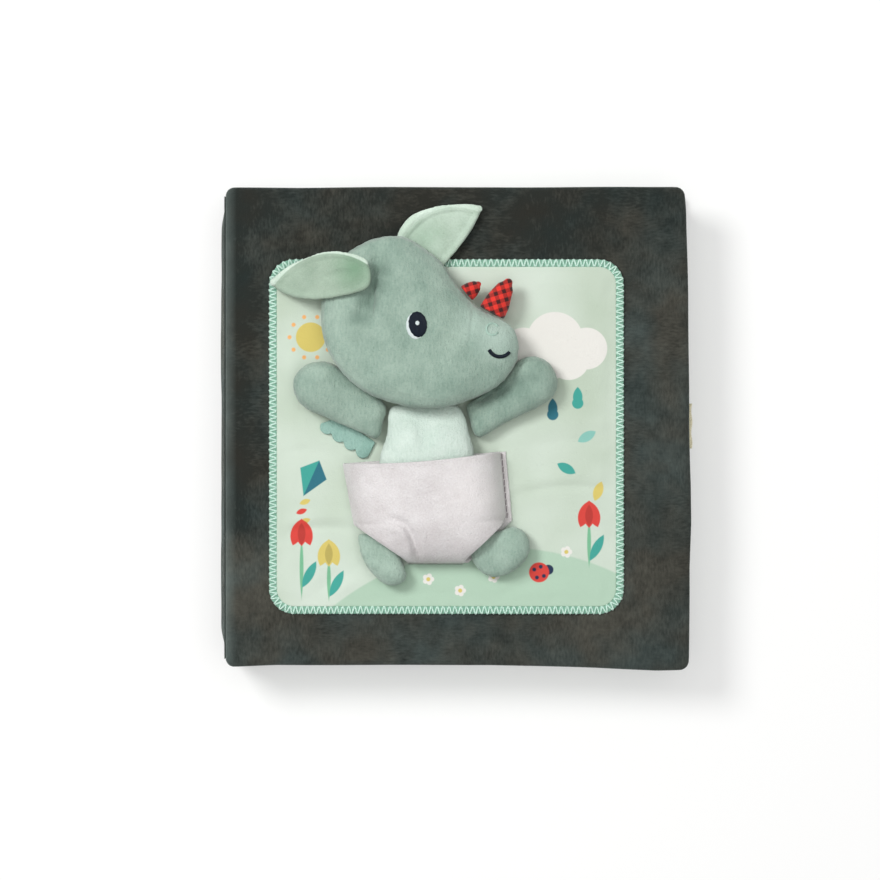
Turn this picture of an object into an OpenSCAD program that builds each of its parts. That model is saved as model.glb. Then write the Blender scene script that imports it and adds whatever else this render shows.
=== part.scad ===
// A closed cloth activity book for babies, lying on its back cover.
// Two padded velour covers and four stuffed cloth leaves are sewn to a cloth spine.
// The front cover carries a printed cloth panel, and a plush rhinoceros in a nappy lies on it.
// X runs from the spine to the open edge, Y up the page and Z up from the table.

/* [Covers] */
// Width of a cover, from the spine's outside to the open edge
cover_w = 205; // [160:5:240]
// Height of a cover
cover_h = 213; // [170:1:250]
// Thickness of a padded cover without its lining
cover_t = 7.4; // [5:0.2:11]
// Radius of a cover's corners, seen from above
cover_corner = 6; // [6:0.5:12]
// Thickness of the cloth that lines a cover's inner face
lining_t = 0.6; // [0.4:0.1:1]
// Bare velour between the lining's edge and the cover's edge
lining_margin = 6; // [6:0.5:12]
// Play between each cover and what it closes on
cover_gap = 0.3; // [0.2:0.05:0.5]

/* [Leaves] */
// Number of stuffed cloth leaves
leaf_count = 4; // [2:1:6]
// Thickness of one leaf
leaf_t = 5.6; // [4:0.2:8]
// How far the stuffed leaves press into each other
leaf_press = 0.2; // [0.1:0.05:0.4]
// Bare cover past a leaf's edge at the top, bottom and open side
leaf_margin = 3; // [2:0.5:8]
// Radius of a leaf's corners, seen from above
leaf_corner = 5; // [5:0.5:10]
// Width of the sewn gutter beside the spine
gutter_w = 7; // [5:0.5:12]
// Thickness of the cloth spine
spine_t = 3.6; // [2.6:0.2:5]
// Rounding along the spine's four long edges
spine_round = 1.1; // [0.6:0.1:1.2]

/* [Page tab] */
// Height of the ribbon tab along the page edge
tab_h = 20; // [10:1:40]
// How far the tab stands out past the covers
tab_out = 2.2; // [1:0.1:6]
// Thickness of the folded ribbon
tab_t = 2; // [1.4:0.1:2.6]
// Depth of ribbon caught in the leaf's seam
tab_root = 5; // [3:0.5:8]
// Centre of the tab above the middle of the page
tab_y = 0.7; // [-60:0.1:60]

/* [Printed panel] */
// Width of the panel over its edge stitching
panel_w = 156; // [140:1:164]
// Height of the panel over its edge stitching
panel_h = 156; // [150:1:164]
// Velour left between the spine edge and the panel
panel_left = 20; // [12:0.5:24]
// Velour left below the panel
panel_bottom = 24.5; // [16:0.5:36]
// Corner radius of the panel over its stitching
panel_corner = 11; // [8:0.5:16]
// Thickness of the panel's cloth
panel_t = 0.8; // [0.6:0.1:1.4]
// Thickness that stands for an area of print
print_t = 0.1; // [0.05:0.05:0.15]
// Width of the zigzag edge stitching
stitch_w = 3.2; // [2.4:0.1:4]
// Length of one zigzag along the edge
stitch_pitch = 2.5; // [2.2:0.1:4]
// Thickness of the zigzag's thread
thread_w = 1; // [0.8:0.05:1.1]
// Height of the thread above the panel's cloth
thread_rise = 0.25; // [0.15:0.05:0.4]

/* [Toy] */
// Place of the toy's neck to the right of the panel's middle
toy_x = -9.5; // [-16:0.5:-4]
// Place of the toy's neck above the panel's middle
toy_y = 11.4; // [6:0.2:14]
// Play between the toy's pieces, and under them
toy_gap = 0.3; // [0.2:0.05:0.5]
// Height of the head's widest edge above the panel
head_edge = 10; // [9:0.5:11]
// Stuffing of the head above its widest edge
head_up = 15; // [11:0.5:17]
// How far the chin is lifted by the shoulders
chin_lift = 8; // [7:0.5:9]
// Stuffed thickness of the belly
belly_t = 15; // [12:0.5:16]
// Stuffed thickness of a shoulder
shoulder_t = 10; // [8:0.5:11]
// Stuffed thickness of a front paw
paw_t = 14; // [11:0.5:15]
// Stuffed thickness of a foot
foot_t = 10.6; // [9:0.2:11]
// How much flatter a leg is inside the nappy
hip_squash = 2.6; // [1:0.2:4]
// Stuffed thickness of an ear
ear_t = 4.6; // [3:0.2:5]
// Thickness of the felt tail
tail_t = 1.6; // [1:0.1:2.4]
// Length of the large horn
horn_l = 17; // [10:0.5:22]
// Radius of the large horn at its root
horn_r = 6; // [4:0.25:7]
// Length of the small horn
small_horn_l = 8; // [5:0.5:11]
// Radius of the small horn at its root
small_horn_r = 4; // [3:0.25:4.5]
// Radius of the embroidered eye
eye_r = 4.2; // [2.5:0.1:5]
// Thickness of the eye's stitches
eye_t = 0.7; // [0.4:0.1:1]

/* [Nappy] */
// Height of the nappy's front over the belly
nappy_h = 18.6; // [18:0.2:22]
// Thickness of the fleece
fleece_t = 1.2; // [0.8:0.1:1.6]
// Half of the nappy's width at the waist
nappy_waist = 33.4; // [31:0.2:38]
// Half of the nappy's width at the hips
nappy_hip = 32.4; // [30.4:0.5:36]
// Half of the nappy's width at the crotch
nappy_crotch = 10.8; // [9:0.2:14]
// Length of the nappy from waist to crotch
nappy_l = 46.4; // [44:0.2:52]
// Seam allowance outside the nappy's stitched side seam
seam_w = 3.6; // [2.5:0.1:5]
// Seam allowance outside its other side seam
tuck_w = 1.4; // [1.2:0.1:3]
// Length of one running stitch
running_l = 2.2; // [1.5:0.1:3]
// Distance from one running stitch to the next
running_pitch = 3.4; // [3.2:0.1:5]

/* [Hidden] */
$fn = 48;

velour = [0.25, 0.26, 0.24];
mint = [0.76, 0.83, 0.76];
mint_cloth = [0.72, 0.80, 0.72];
thread_mint = [0.62, 0.78, 0.69];
plush = [0.61, 0.70, 0.64];
plush_light = [0.83, 0.90, 0.85];
teal = [0.28, 0.56, 0.55];
leaf_green = [0.45, 0.66, 0.48];
mustard = [0.85, 0.72, 0.38];
tulip_red = [0.80, 0.22, 0.17];
cloud_white = [0.87, 0.88, 0.85];
hill_mint = [0.67, 0.79, 0.70];
fleece = [0.87, 0.85, 0.84];
cream = [0.86, 0.83, 0.73];
navy = [0.10, 0.13, 0.24];

// Levels, from the table up
back_inner = cover_t + lining_t;
pages_low = back_inner + cover_gap;
pages_h = leaf_count * leaf_t - (leaf_count - 1) * leaf_press;
pages_top = pages_low + pages_h;
front_inner = pages_top + cover_gap;
front_low = front_inner + lining_t;
front_top = front_low + cover_t;
panel_top = front_top + panel_t;
thread_top = panel_top + thread_rise;
toy_low = thread_top + toy_gap;

// Places in plan; the tab is the part's reach at the open side
cover_left = -(cover_w + tab_out) / 2;
cover_right = cover_left + cover_w;
leaf_left = cover_left + spine_t;
leaf_right = cover_right - leaf_margin;
leaf_half_h = cover_h / 2 - leaf_margin;
tab_leaf = floor(leaf_count / 2);
tab_low = pages_low + tab_leaf * (leaf_t - leaf_press) + (leaf_t - tab_t) / 2;
panel_x = cover_left + panel_left + panel_w / 2;
panel_y = -cover_h / 2 + panel_bottom + panel_h / 2;
stitch_play = 0.1;
cloth_w = panel_w - 2 * (stitch_w + stitch_play);
cloth_h = panel_h - 2 * (stitch_w + stitch_play);
cloth_corner = panel_corner - stitch_w - stitch_play;
neck = [panel_x + toy_x, panel_y + toy_y];

// A closed smooth line through the given points, with steps points to each
function smooth_loop(p, steps) = let (n = len(p)) [
  for (i = [0:n - 1])
    for (j = [0:steps - 1])
      let (t = j / steps, a = p[(i + n - 1) % n], b = p[i], c = p[(i + 1) % n], d = p[(i + 2) % n])
        0.5 * (2 * b + (c - a) * t + (2 * a - 5 * b + 4 * c - d) * t * t
          + (3 * b - a - 3 * c + d) * t * t * t)
];

// The point of the line from a to b that lies nearest to p
function on_line(p, a, b) = a + (b - a) * clamped(((p - a) * (b - a)) / max(0.001, (b - a) * (b - a)));
function clamped(t) = max(0, min(1, t));
function eased(t) = let (u = clamped(t)) u * u * (3 - 2 * u);
function signed_pow(v, e) = sign(v) * pow(abs(v), e);

// A stuffed form: its outline is drawn in towards the line a-b as it rises or falls from its
// edge. edge(p) is the height of the edge at p, up(p) the stuffing above it, down what is below.
function stuffed_point(p, a, b, lat, edge, up, down) =
  let (c = on_line(p, a, b), s = pow(cos(lat), lat > 0 ? up_round : down_round), q = c + (p - c) * s)
    [q.x, q.y, edge(q) + signed_pow(sin(lat), fullness) * (lat > 0 ? up(q) : down)];

up_round = 0.8;
down_round = 0.65;
fullness = 0.85;

module stuffed(outline, a, b, edge, up, down) {
  lats = [-80, -60, -38, -18, 0, 20, 40, 60, 78];
  n = len(outline);
  m = (a + b) / 2;
  rings = [for (lat = lats) for (p = outline) stuffed_point(p, a, b, lat, edge, up, down)];
  points = concat(
    [[m.x, m.y, edge(m) - down]],
    rings,
    [[m.x, m.y, edge(m) + up(m)]]
  );
  last = len(points) - 1;
  top = 1 + (len(lats) - 1) * n;
  polyhedron(
    points,
    concat(
      [for (i = [0:n - 1]) [0, 1 + i, 1 + (i + 1) % n]],
      [
        for (k = [0:len(lats) - 2])
          for (i = [0:n - 1])
            let (low = 1 + k * n, high = low + n, j = (i + 1) % n)
              each [[low + i, high + i, high + j], [low + i, high + j, low + j]]
      ],
      [for (i = [0:n - 1]) [last, top + (i + 1) % n, top + i]]
    )
  );
}

// A flat bar with round ends, seen along its length
module stadium(l, t) {
  square([l - t, t], center = true);
  for (side = [-1, 1])
    translate([side * (l - t) / 2, 0]) circle(d = t);
}

module rounded_rect(w, h, r) {
  square([w - 2 * r, h], center = true);
  square([w, h - 2 * r], center = true);
  for (x = [-1, 1], y = [-1, 1])
    translate([x * (w / 2 - r), y * (h / 2 - r)]) circle(r);
}

// A padded slab with round edges all the way, its underside at z = 0
module padded_slab(w, h, t, corner) {
  translate([0, 0, t / 2])
    intersection() {
      linear_extrude(t, center = true) rounded_rect(w, h, corner);
      rotate([90, 0, 0]) linear_extrude(h, center = true) stadium(w, t);
      rotate([90, 0, 90]) linear_extrude(w, center = true) stadium(h, t);
    }
}

module cover() {
  translate([(cover_left + cover_right) / 2, 0, 0])
    padded_slab(cover_w, cover_h, cover_t, cover_corner);
}

module lining() {
  translate([(cover_left + cover_right) / 2, 0, 0])
    linear_extrude(lining_t)
      rounded_rect(cover_w - 2 * lining_margin, cover_h - 2 * lining_margin, cover_corner);
}

module front_cover() color(velour) translate([0, 0, front_low]) cover();

module back_cover() color(velour) cover();

module front_lining() color(mint_cloth) translate([0, 0, front_inner]) lining();

module back_lining() color(mint_cloth) translate([0, 0, cover_t]) lining();

module spine() {
  color(velour)
    translate([cover_left + spine_t / 2, 0, (pages_low + pages_top) / 2])
      rotate([90, 0, 0])
        linear_extrude(cover_h - 2 * leaf_margin, center = true)
          rounded_rect(spine_t, pages_h, spine_round);
}

module tab_slot() {
  depth = tab_root + leaf_t;
  translate([leaf_right - tab_root - stitch_play, tab_y - tab_h / 2 - stitch_play, tab_low - stitch_play])
    cube([depth, tab_h + 2 * stitch_play, tab_t + 2 * stitch_play]);
}

module pages() {
  color(mint_cloth)
    difference() {
      union() {
        for (i = [0:leaf_count - 1])
          translate([(leaf_left + leaf_right) / 2, 0, pages_low + i * (leaf_t - leaf_press)])
            padded_slab(leaf_right - leaf_left, 2 * leaf_half_h, leaf_t, leaf_corner);
        translate([leaf_left, -leaf_half_h + leaf_t / 2, pages_low])
          cube([gutter_w, 2 * leaf_half_h - leaf_t, pages_h]);
      }
      tab_slot();
    }
}

// Ribbon folded double, its fold outwards
module page_tab() {
  reach = cover_right + tab_out - (leaf_right - tab_root);
  color(cream)
    translate([leaf_right - tab_root, tab_y, tab_low + tab_t / 2])
      rotate([90, 0, 0])
        linear_extrude(tab_h, center = true) {
          translate([0, -tab_t / 2]) square([reach - tab_t / 2, tab_t]);
          translate([reach - tab_t / 2, 0]) circle(d = tab_t);
        }
}

// Printed shapes, each drawn about its own middle
module leaf_shape(l, w) {
  r = (l * l + w * w) / (4 * w);
  intersection() {
    translate([0, r - w / 2]) circle(r);
    translate([0, w / 2 - r]) circle(r);
  }
}

module drop_shape(r) {
  circle(r);
  polygon([[-r * 0.87, r * 0.5], [0, r * 2.2], [r * 0.87, r * 0.5]]);
}

module cloud_shape(w) {
  for (p = [[-0.3, 0, 0.2], [0, 0.08, 0.27], [0.3, 0, 0.2], [-0.05, -0.1, 0.2], [0.13, -0.1, 0.2]])
    translate([p.x, p.y] * w) circle(p.z * w);
}

module tulip_shape(w) {
  intersection() {
    circle(w / 2);
    polygon([[-w, -w], [-w, w * 0.35], [-w / 4, 0], [0, w * 0.4], [w / 4, 0], [w, w * 0.35], [w, -w]]);
  }
}

module kite_shape(w) {
  polygon([[0, w * 0.6], [w / 2, w * 0.1], [0, -w * 0.75], [-w / 2, w * 0.1]]);
}

// One printed shape at x, y from the panel's middle, the later ones over the first
module printed(colour, x, y, turn = 0, layer = 1)
  color(colour)
    translate([panel_x + x, panel_y + y, panel_top])
      rotate(turn) linear_extrude(layer * print_t) children();

module printed_tulip(colour, x, y, stem) {
  flower = 11;
  printed(leaf_green, x, y - stem / 2, layer = 2) square([1.6, stem], center = true);
  printed(leaf_green, x + 3.4, y - stem * 0.62, 62, layer = 2) leaf_shape(13, 4);
  printed(colour, x, y + flower * 0.3, layer = 2) tulip_shape(flower);
}

// A meadow: sky with a cloud, sun and kite, and a low hill with tulips and a ladybird
module cover_panel() {
  edge_x = cloth_w / 2;
  edge_y = cloth_h / 2;
  color(mint)
    translate([panel_x, panel_y, front_top])
      linear_extrude(panel_t) rounded_rect(cloth_w, cloth_h, cloth_corner);
  printed(hill_mint, 0, 0)
    intersection() {
      rounded_rect(cloth_w - 1, cloth_h - 1, cloth_corner);
      translate([24, -edge_y - 92]) circle(118);
    }
  printed(cloud_white, edge_x - 27, edge_y - 36) cloud_shape(46);
  for (i = [0:2])
    printed(teal, edge_x - 39 + 11 * i, edge_y - 60 - 5 * (i % 2)) drop_shape(2.5);
  printed(mustard, -edge_x + 15, edge_y - 31) circle(6.5);
  printed(teal, -edge_x + 16, -edge_y + 58, -24) kite_shape(13);
  printed_tulip(tulip_red, -edge_x + 11, -edge_y + 29, 24);
  printed_tulip(mustard, -edge_x + 23, -edge_y + 20, 16);
  printed_tulip(tulip_red, edge_x - 12, -edge_y + 37, 18);
  printed(tulip_red, edge_x - 34, -edge_y + 15, layer = 2) circle(4.4);
  printed(navy, edge_x - 29, -edge_y + 16.4, layer = 2) circle(2);
}

// The point at length s around a rounded rectangle, moved out by d: first the right side going up
function edge_point(s, w, h, r, d) =
  let (
    straight = [h - 2 * r, w - 2 * r, h - 2 * r, w - 2 * r],
    arc = PI * r / 2,
    ends = [for (i = [0:4]) i * arc + (i > 0 ? straight[0] : 0) + (i > 1 ? straight[1] : 0)
      + (i > 2 ? straight[2] : 0) + (i > 3 ? straight[3] : 0)],
    side = s < ends[1] ? 0 : s < ends[2] ? 1 : s < ends[3] ? 2 : 3,
    t = s - ends[side],
    along = min(t, straight[side]),
    turn = max(0, t - straight[side]) / r * 180 / PI,
    half = side % 2 == 0 ? w / 2 : h / 2,
    other = side % 2 == 0 ? h / 2 : w / 2,
    local = [half - r, -other + r + along] + (r + d) * [cos(turn), sin(turn)],
    a = side * 90
  )
    [local.x * cos(a) - local.y * sin(a), local.x * sin(a) + local.y * cos(a)];

// One thread laid in zigzags over the panel's edge
module panel_stitching() {
  w = panel_w - stitch_w;
  h = panel_h - stitch_w;
  r = panel_corner - stitch_w / 2;
  round_trip = 2 * (w + h - 4 * r) + 2 * PI * r;
  count = 2 * round(round_trip / stitch_pitch);
  swing = (stitch_w - thread_w) / 2;
  outside = [
    for (i = [0:count - 1])
      edge_point(i * round_trip / count, w, h, r, (i % 2 == 0 ? swing : -swing) + thread_w / 2)
  ];
  inside = [
    for (i = [0:count - 1])
      edge_point(i * round_trip / count, w, h, r, (i % 2 == 0 ? swing : -swing) - thread_w / 2)
  ];
  color(thread_mint)
    translate([panel_x, panel_y, front_top])
      linear_extrude(thread_top - front_top)
        polygon(
          concat(outside, inside),
          [[for (i = [0:count - 1]) i], [for (i = [0:count - 1]) count + i]]
        );
}

// The toy's pieces are placed from its neck, in a frame whose z = 0 is the toy's underside
module on_panel() translate([neck.x, neck.y, toy_low]) children();

head_outline = smooth_loop(
  [
    [-4, 0.5], [16, 3], [32, 10.5], [40.5, 22], [40, 33.5], [31.5, 41], [22, 46.5], [14, 56],
    [4, 68.5], [-13, 77], [-33, 70], [-45, 50], [-43, 26], [-27, 8]
  ],
  4
);
skull = [-10, 38];
muzzle = [17, 26];

// How far p lies from the line a-b, as a share of the way to the outline
function share_out(p, outline, a, b) =
  let (c = on_line(p, a, b), d = p - c, n = len(outline))
    max([
      for (i = [0:n - 1])
        let (
          e = outline[i] - c,
          f = outline[(i + 1) % n] - outline[i],
          turn = cross(d, f),
          reach = turn == 0 ? -1 : cross(e, f) / turn,
          side = turn == 0 ? -1 : cross(e, d) / turn
        )
          reach > 0 && side >= 0 && side <= 1 ? 1 / reach : 0
    ]);
chin_rise = 42;
head_edge_at = function(p) head_edge + chin_lift * (1 - eased(p.y / chin_rise));
head_up_at = function(p) head_up - 5 * eased((p.x - 6) / 30) - 4 * (1 - eased(p.y / chin_rise));

// Height of the head's upper side at p
function head_top(p) =
  let (s = min(1, share_out(p, head_outline, skull, muzzle)))
    head_edge_at(p) + pow(sin(acos(pow(s, 1 / up_round))), fullness) * head_up_at(p);

module toy_head() {
  color(plush)
    on_panel()
      stuffed(head_outline, skull, muzzle, head_edge_at, head_up_at, head_edge);
}

// A stuffed horn with a round tip, standing on the head's outline at its point i
module horn_at(i, l, r) {
  q = head_outline[i + 1] - head_outline[i - 1];
  out = [q.y, -q.x] / norm(q);
  root = head_outline[i] + out * toy_gap;
  tip = 0.35 * r;
  translate([root.x, root.y, head_edge_at(root)])
    rotate([0, 90, atan2(out.y, out.x)])
      rotate_extrude()
        intersection() {
          square([r, l]);
          union() {
            polygon([
              [0, 0], [r, 0], [0.92 * r, 0.35 * l], [0.62 * r, 0.75 * l], [tip, l - tip], [0, l - tip]
            ]);
            translate([0, l - tip]) circle(tip);
          }
        }
}

module toy_horn() color(tulip_red) on_panel() horn_at(21, horn_l, horn_r);

module toy_small_horn() color(tulip_red) on_panel() horn_at(26, small_horn_l, small_horn_r);

// The eye lies on the head's slope
module toy_eye() {
  at = [-3, 37];
  slope_x = (head_top(at + [1, 0]) - head_top(at - [1, 0])) / 2;
  slope_y = (head_top(at + [0, 1]) - head_top(at - [0, 1])) / 2;
  color(navy)
    on_panel()
      translate([at.x, at.y, head_top(at) + toy_gap])
        rotate([atan(slope_y), -atan(slope_x), 0])
          cylinder(h = eye_t, r = eye_r);
}

module ear(outline, a, b, edge) {
  color(plush_light)
    on_panel()
      stuffed(smooth_loop(outline, 4), a, b, edge, function(p) ear_t / 2, ear_t / 2);
}

// The left ear is sewn to the head's side and hangs over its back edge down to the panel
module toy_ear_left() {
  tip_x = -68.5;
  root = [-27, 58];
  root_z = head_top(root) + toy_gap + ear_t / 2;
  ear(
    [
      [-24, 63.5], [-31, 67.5], [-43, 69], [-56, 65], [tip_x + 3.5, 59.5], [tip_x, 56.5],
      [tip_x + 3, 53.6], [-59, 50], [-48, 48], [-34, 49.5], [-24, 53.5]
    ],
    [-34, 58.5], [-57, 57.5],
    function(p) ear_t / 2 + (root_z - ear_t / 2) * eased((p.x - tip_x + 2) / 40)
  );
}

// The right ear comes out from under the back of the head
module toy_ear_right()
  ear(
    [
      [-12.6, 75.6], [-6, 70.6], [0.5, 66], [6, 62], [10.6, 66], [15, 71], [20.5, 79], [24.4, 86.4],
      [25.4, 89.6], [22, 90.6], [14, 90.6], [3, 89.2], [-7, 85]
    ],
    [3, 78], [15, 83],
    function(p) ear_t / 2
  );

body_outline = smooth_loop(
  [
    [-15, 2], [0, 3], [15, 2], [20, -10], [22.5, -24], [21, -37], [12, -45.5], [1, -47.5],
    [-10, -45.5], [-19.5, -37], [-20.8, -24], [-17, -10]
  ],
  4
);

module toy_body() {
  thick_at = function(p) belly_t / 2 - 2.6 * eased((p.y + 14) / 14);
  color(plush_light)
    on_panel()
      translate([0, 0, fleece_t + toy_gap])
        stuffed(body_outline, [0, -6], [0, -34], function(p) 6, function(p) 2 * thick_at(p) - 6, 6);
}

// A stuffed limb along the line a-b, ta thick at its root and tb at its round end
module limb(outline, steps, a, b, ta, tb, lift) {
  share_at = function(p) clamped(((p - a) * (b - a)) / ((b - a) * (b - a)));
  thick_at = function(p) ta + (tb - ta) * pow(share_at(p), 2);
  half = ta * 0.45;
  color(plush)
    on_panel()
      translate([0, 0, lift])
        stuffed(
          smooth_loop(outline, steps), a, b,
          function(p) half, function(p) thick_at(p) - half, half
        );
}

// The left arm rests on the felt tail
module toy_arm_left()
  limb(
    [
      [-16.8, 1], [-21, 7], [-28.4, 12.6], [-36, 18.4], [-44, 22], [-52.5, 20], [-57.8, 13.5], [-57, 6],
      [-52, 0.6], [-45, -2.6], [-36, -6.6], [-27, -10.6], [-21.8, -12.8], [-19, -10.4], [-17.9, -4]
    ],
    2, [-24, -2.5], [-46, 10], shoulder_t, paw_t, tail_t + toy_gap
  );

module toy_arm_right()
  limb(
    [
      [21, -9.8], [24.4, -12], [32, -7.6], [41, -3], [50, 1.2], [56.6, 6], [58.6, 13.4], [55, 21],
      [48, 24.2], [41.4, 22.4], [36, 16.5], [29, 10], [22, 5.6], [18, 2], [19.4, -4]
    ],
    2, [26, -2.5], [47, 12], shoulder_t, paw_t, 0
  );

// The legs come out of the nappy, over its back and under its front
module toy_leg_left()
  limb(
    [
      [-29.4, -54.2], [-28.4, -62], [-24.4, -69.8], [-18, -76], [-11.6, -76.8], [-7.8, -73.2],
      [-8.8, -69], [-11.8, -62.4], [-16, -56.4], [-21, -53.2], [-26, -53.8]
    ],
    3, [-16, -60], [-17, -67], foot_t - hip_squash, foot_t, fleece_t + toy_gap
  );

module toy_leg_right()
  limb(
    [
      [20, -64.4], [23.8, -70.4], [30, -73.2], [38, -70.8], [44.6, -65.2], [46.3, -58.8],
      [43.8, -53], [38.6, -50.6], [33, -52.4], [27, -54], [21.6, -57.6]
    ],
    3, [27, -62], [37, -60.5], foot_t - hip_squash, foot_t, fleece_t + toy_gap
  );

// Flat felt tuft with a scalloped end, sewn to the body's side under the arm
module toy_tail() {
  scallops = 4;
  first = [-45.5, -5.5];
  last = [-24.4, -19.6];
  step = (last - first) / scallops;
  lie = atan2(step.y, step.x);
  color(plush_light)
    on_panel()
      linear_extrude(tail_t)
        polygon(
          concat(
            [[-21.6, -14], [-38, -3]],
            [
              for (k = [0:scallops - 1])
                for (a = [180:20:340])
                  first + (k + 0.5) * step + norm(step) / 2 * [cos(lie + a), sin(lie + a)]
            ]
          )
        );
}

// The nappy in plan: v runs from 0 at the waist to 1 at the crotch, u from -1 to 1 across it
hip_at = 0.62;
waist_y = -20.5;
waist_shift = -1.4;
crotch_shift = 6.2;
waist_tilt = 4.5;
waist_dip = 1.6;
function nappy_half(v) =
  v < hip_at
    ? nappy_waist + (nappy_hip - nappy_waist) * v / hip_at
    : nappy_hip + (nappy_crotch - nappy_hip) * (v - hip_at) / (1 - hip_at);
function dome_half(v) = v < hip_at ? nappy_half(v) : nappy_hip;
function nappy_xy(u, v) =
  let (x = u * nappy_half(v))
    [
      x + waist_shift + crotch_shift * v,
      waist_y - nappy_l * v + (1 - v) * (x * tan(waist_tilt) - waist_dip * max(0, 1 - u * u))
    ];
function nappy_z(u, v, h, grow) =
  let (
    fall = pow(1 - pow(max(0, (v - 0.25) / 0.75), 3.6), 0.5),
    x = abs(u) * nappy_half(v) / (dome_half(v) + grow)
  )
    h * fall * pow(max(0, 1 - pow(x, 2.6)), 0.5);

module nappy_front() {
  cols = 20;
  rows = 12;
  row = cols + 1;
  side = (rows + 1) * row;
  spread = 1 + fleece_t / nappy_hip;
  inner = [
    for (j = [0:rows]) for (i = [0:cols])
      let (u = i * 2 / cols - 1, v = j / rows, p = nappy_xy(u, v)) [p.x, p.y, nappy_z(u, v, nappy_h, 0)]
  ];
  outer = [
    for (j = [0:rows]) for (i = [0:cols])
      let (u = i * 2 / cols - 1, v = j / rows, p = nappy_xy(u * spread, v))
        [p.x, p.y - (j == rows ? fleece_t : 0), nappy_z(u, v, nappy_h, 0) + fleece_t]
  ];
  edge = concat(
    [for (i = [0:cols - 1]) i],
    [for (j = [0:rows - 1]) j * row + cols],
    [for (i = [0:cols - 1]) rows * row + cols - i],
    [for (j = [0:rows - 1]) (rows - j) * row]
  );
  n = len(edge);
  color(fleece)
    on_panel()
      translate([0, 0, fleece_t])
        polyhedron(
          concat(inner, outer),
          concat(
            [
              for (j = [0:rows - 1]) for (i = [0:cols - 1])
                let (a = j * row + i, b = a + 1, c = b + row, d = a + row)
                  each [[a, b, c], [a, c, d]]
            ],
            [
              for (j = [0:rows - 1]) for (i = [0:cols - 1])
                let (a = side + j * row + i, b = a + 1, c = b + row, d = a + row)
                  each [[a, c, b], [a, d, c]]
            ],
            [
              for (k = [0:n - 1])
                let (a = edge[k], b = edge[(k + 1) % n])
                  each [[a, side + a, side + b], [a, side + b, b]]
            ]
          )
        );
}

module nappy_back() {
  levels = [0, hip_at, 1];
  color(fleece)
    on_panel()
      linear_extrude(fleece_t)
        polygon(
          concat(
            [for (v = levels) nappy_xy(-1, v) - [tuck_w, 0]],
            [for (k = [2:-1:0]) nappy_xy(1, levels[k]) + [seam_w, 0]]
          )
        );
}

// Running stitches along the seam allowance beside the stitched side seam
module nappy_stitching() {
  count = floor(nappy_l * hip_at / running_pitch);
  color(thread_mint)
    on_panel()
      translate([0, 0, fleece_t])
        for (k = [0:count - 1])
          let (on_seam = nappy_xy(1, (k + 0.5) / count * hip_at))
            translate([on_seam.x + (seam_w + fleece_t) / 2, on_seam.y, thread_rise / 2])
              cube([thread_w / 2, running_l, thread_rise], center = true);
}

front_cover();
front_lining();
spine();
back_cover();
back_lining();
pages();
page_tab();
cover_panel();
panel_stitching();
nappy_back();
nappy_front();
nappy_stitching();
toy_head();
toy_ear_left();
toy_ear_right();
toy_horn();
toy_small_horn();
toy_eye();
toy_body();
toy_arm_left();
toy_arm_right();
toy_leg_left();
toy_leg_right();
toy_tail();
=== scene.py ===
import math

import bmesh
import bpy
import numpy as np
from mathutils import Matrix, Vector, noise
from mathutils.kdtree import KDTree


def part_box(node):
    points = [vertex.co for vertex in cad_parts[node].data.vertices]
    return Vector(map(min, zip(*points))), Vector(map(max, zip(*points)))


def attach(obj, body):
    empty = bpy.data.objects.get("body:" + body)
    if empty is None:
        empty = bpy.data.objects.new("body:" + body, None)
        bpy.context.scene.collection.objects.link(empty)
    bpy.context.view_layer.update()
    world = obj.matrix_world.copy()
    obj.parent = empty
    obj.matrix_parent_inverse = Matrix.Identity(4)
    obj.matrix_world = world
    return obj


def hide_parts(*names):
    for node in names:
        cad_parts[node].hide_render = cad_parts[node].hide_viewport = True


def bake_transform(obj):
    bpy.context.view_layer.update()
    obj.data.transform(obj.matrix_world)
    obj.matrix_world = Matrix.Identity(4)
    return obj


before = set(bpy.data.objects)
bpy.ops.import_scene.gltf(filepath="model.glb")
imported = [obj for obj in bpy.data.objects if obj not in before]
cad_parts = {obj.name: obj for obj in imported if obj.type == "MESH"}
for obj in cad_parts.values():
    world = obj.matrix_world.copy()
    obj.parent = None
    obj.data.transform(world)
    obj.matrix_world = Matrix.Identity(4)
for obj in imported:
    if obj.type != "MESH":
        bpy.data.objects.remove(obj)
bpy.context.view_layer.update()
MM = 0.001

# The book lies on a pale table under soft daylight from the upper left. The camera looks
# straight down from a metre and a half, so that the cover's top is 0.44 mm to a pixel.
PIXEL = 0.44 * MM
PHOTO_SIDE = 880
BOOK_MIDDLE_PX = (459.2, 427.5)
CAMERA_HEIGHT = 1.5
cover_low, cover_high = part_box("front_cover")

camera = bpy.data.objects.new("camera", bpy.data.cameras.new("camera"))
bpy.context.scene.collection.objects.link(camera)
camera.location = (
    (PHOTO_SIDE / 2 - BOOK_MIDDLE_PX[0]) * PIXEL,
    (BOOK_MIDDLE_PX[1] - PHOTO_SIDE / 2) * PIXEL,
    cover_high.z + CAMERA_HEIGHT,
)
camera.data.sensor_width = 36
camera.data.lens = 36 * CAMERA_HEIGHT / (PHOTO_SIDE * PIXEL)
bpy.context.scene.camera = camera
bpy.context.scene.view_settings.view_transform = "Standard"


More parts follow.
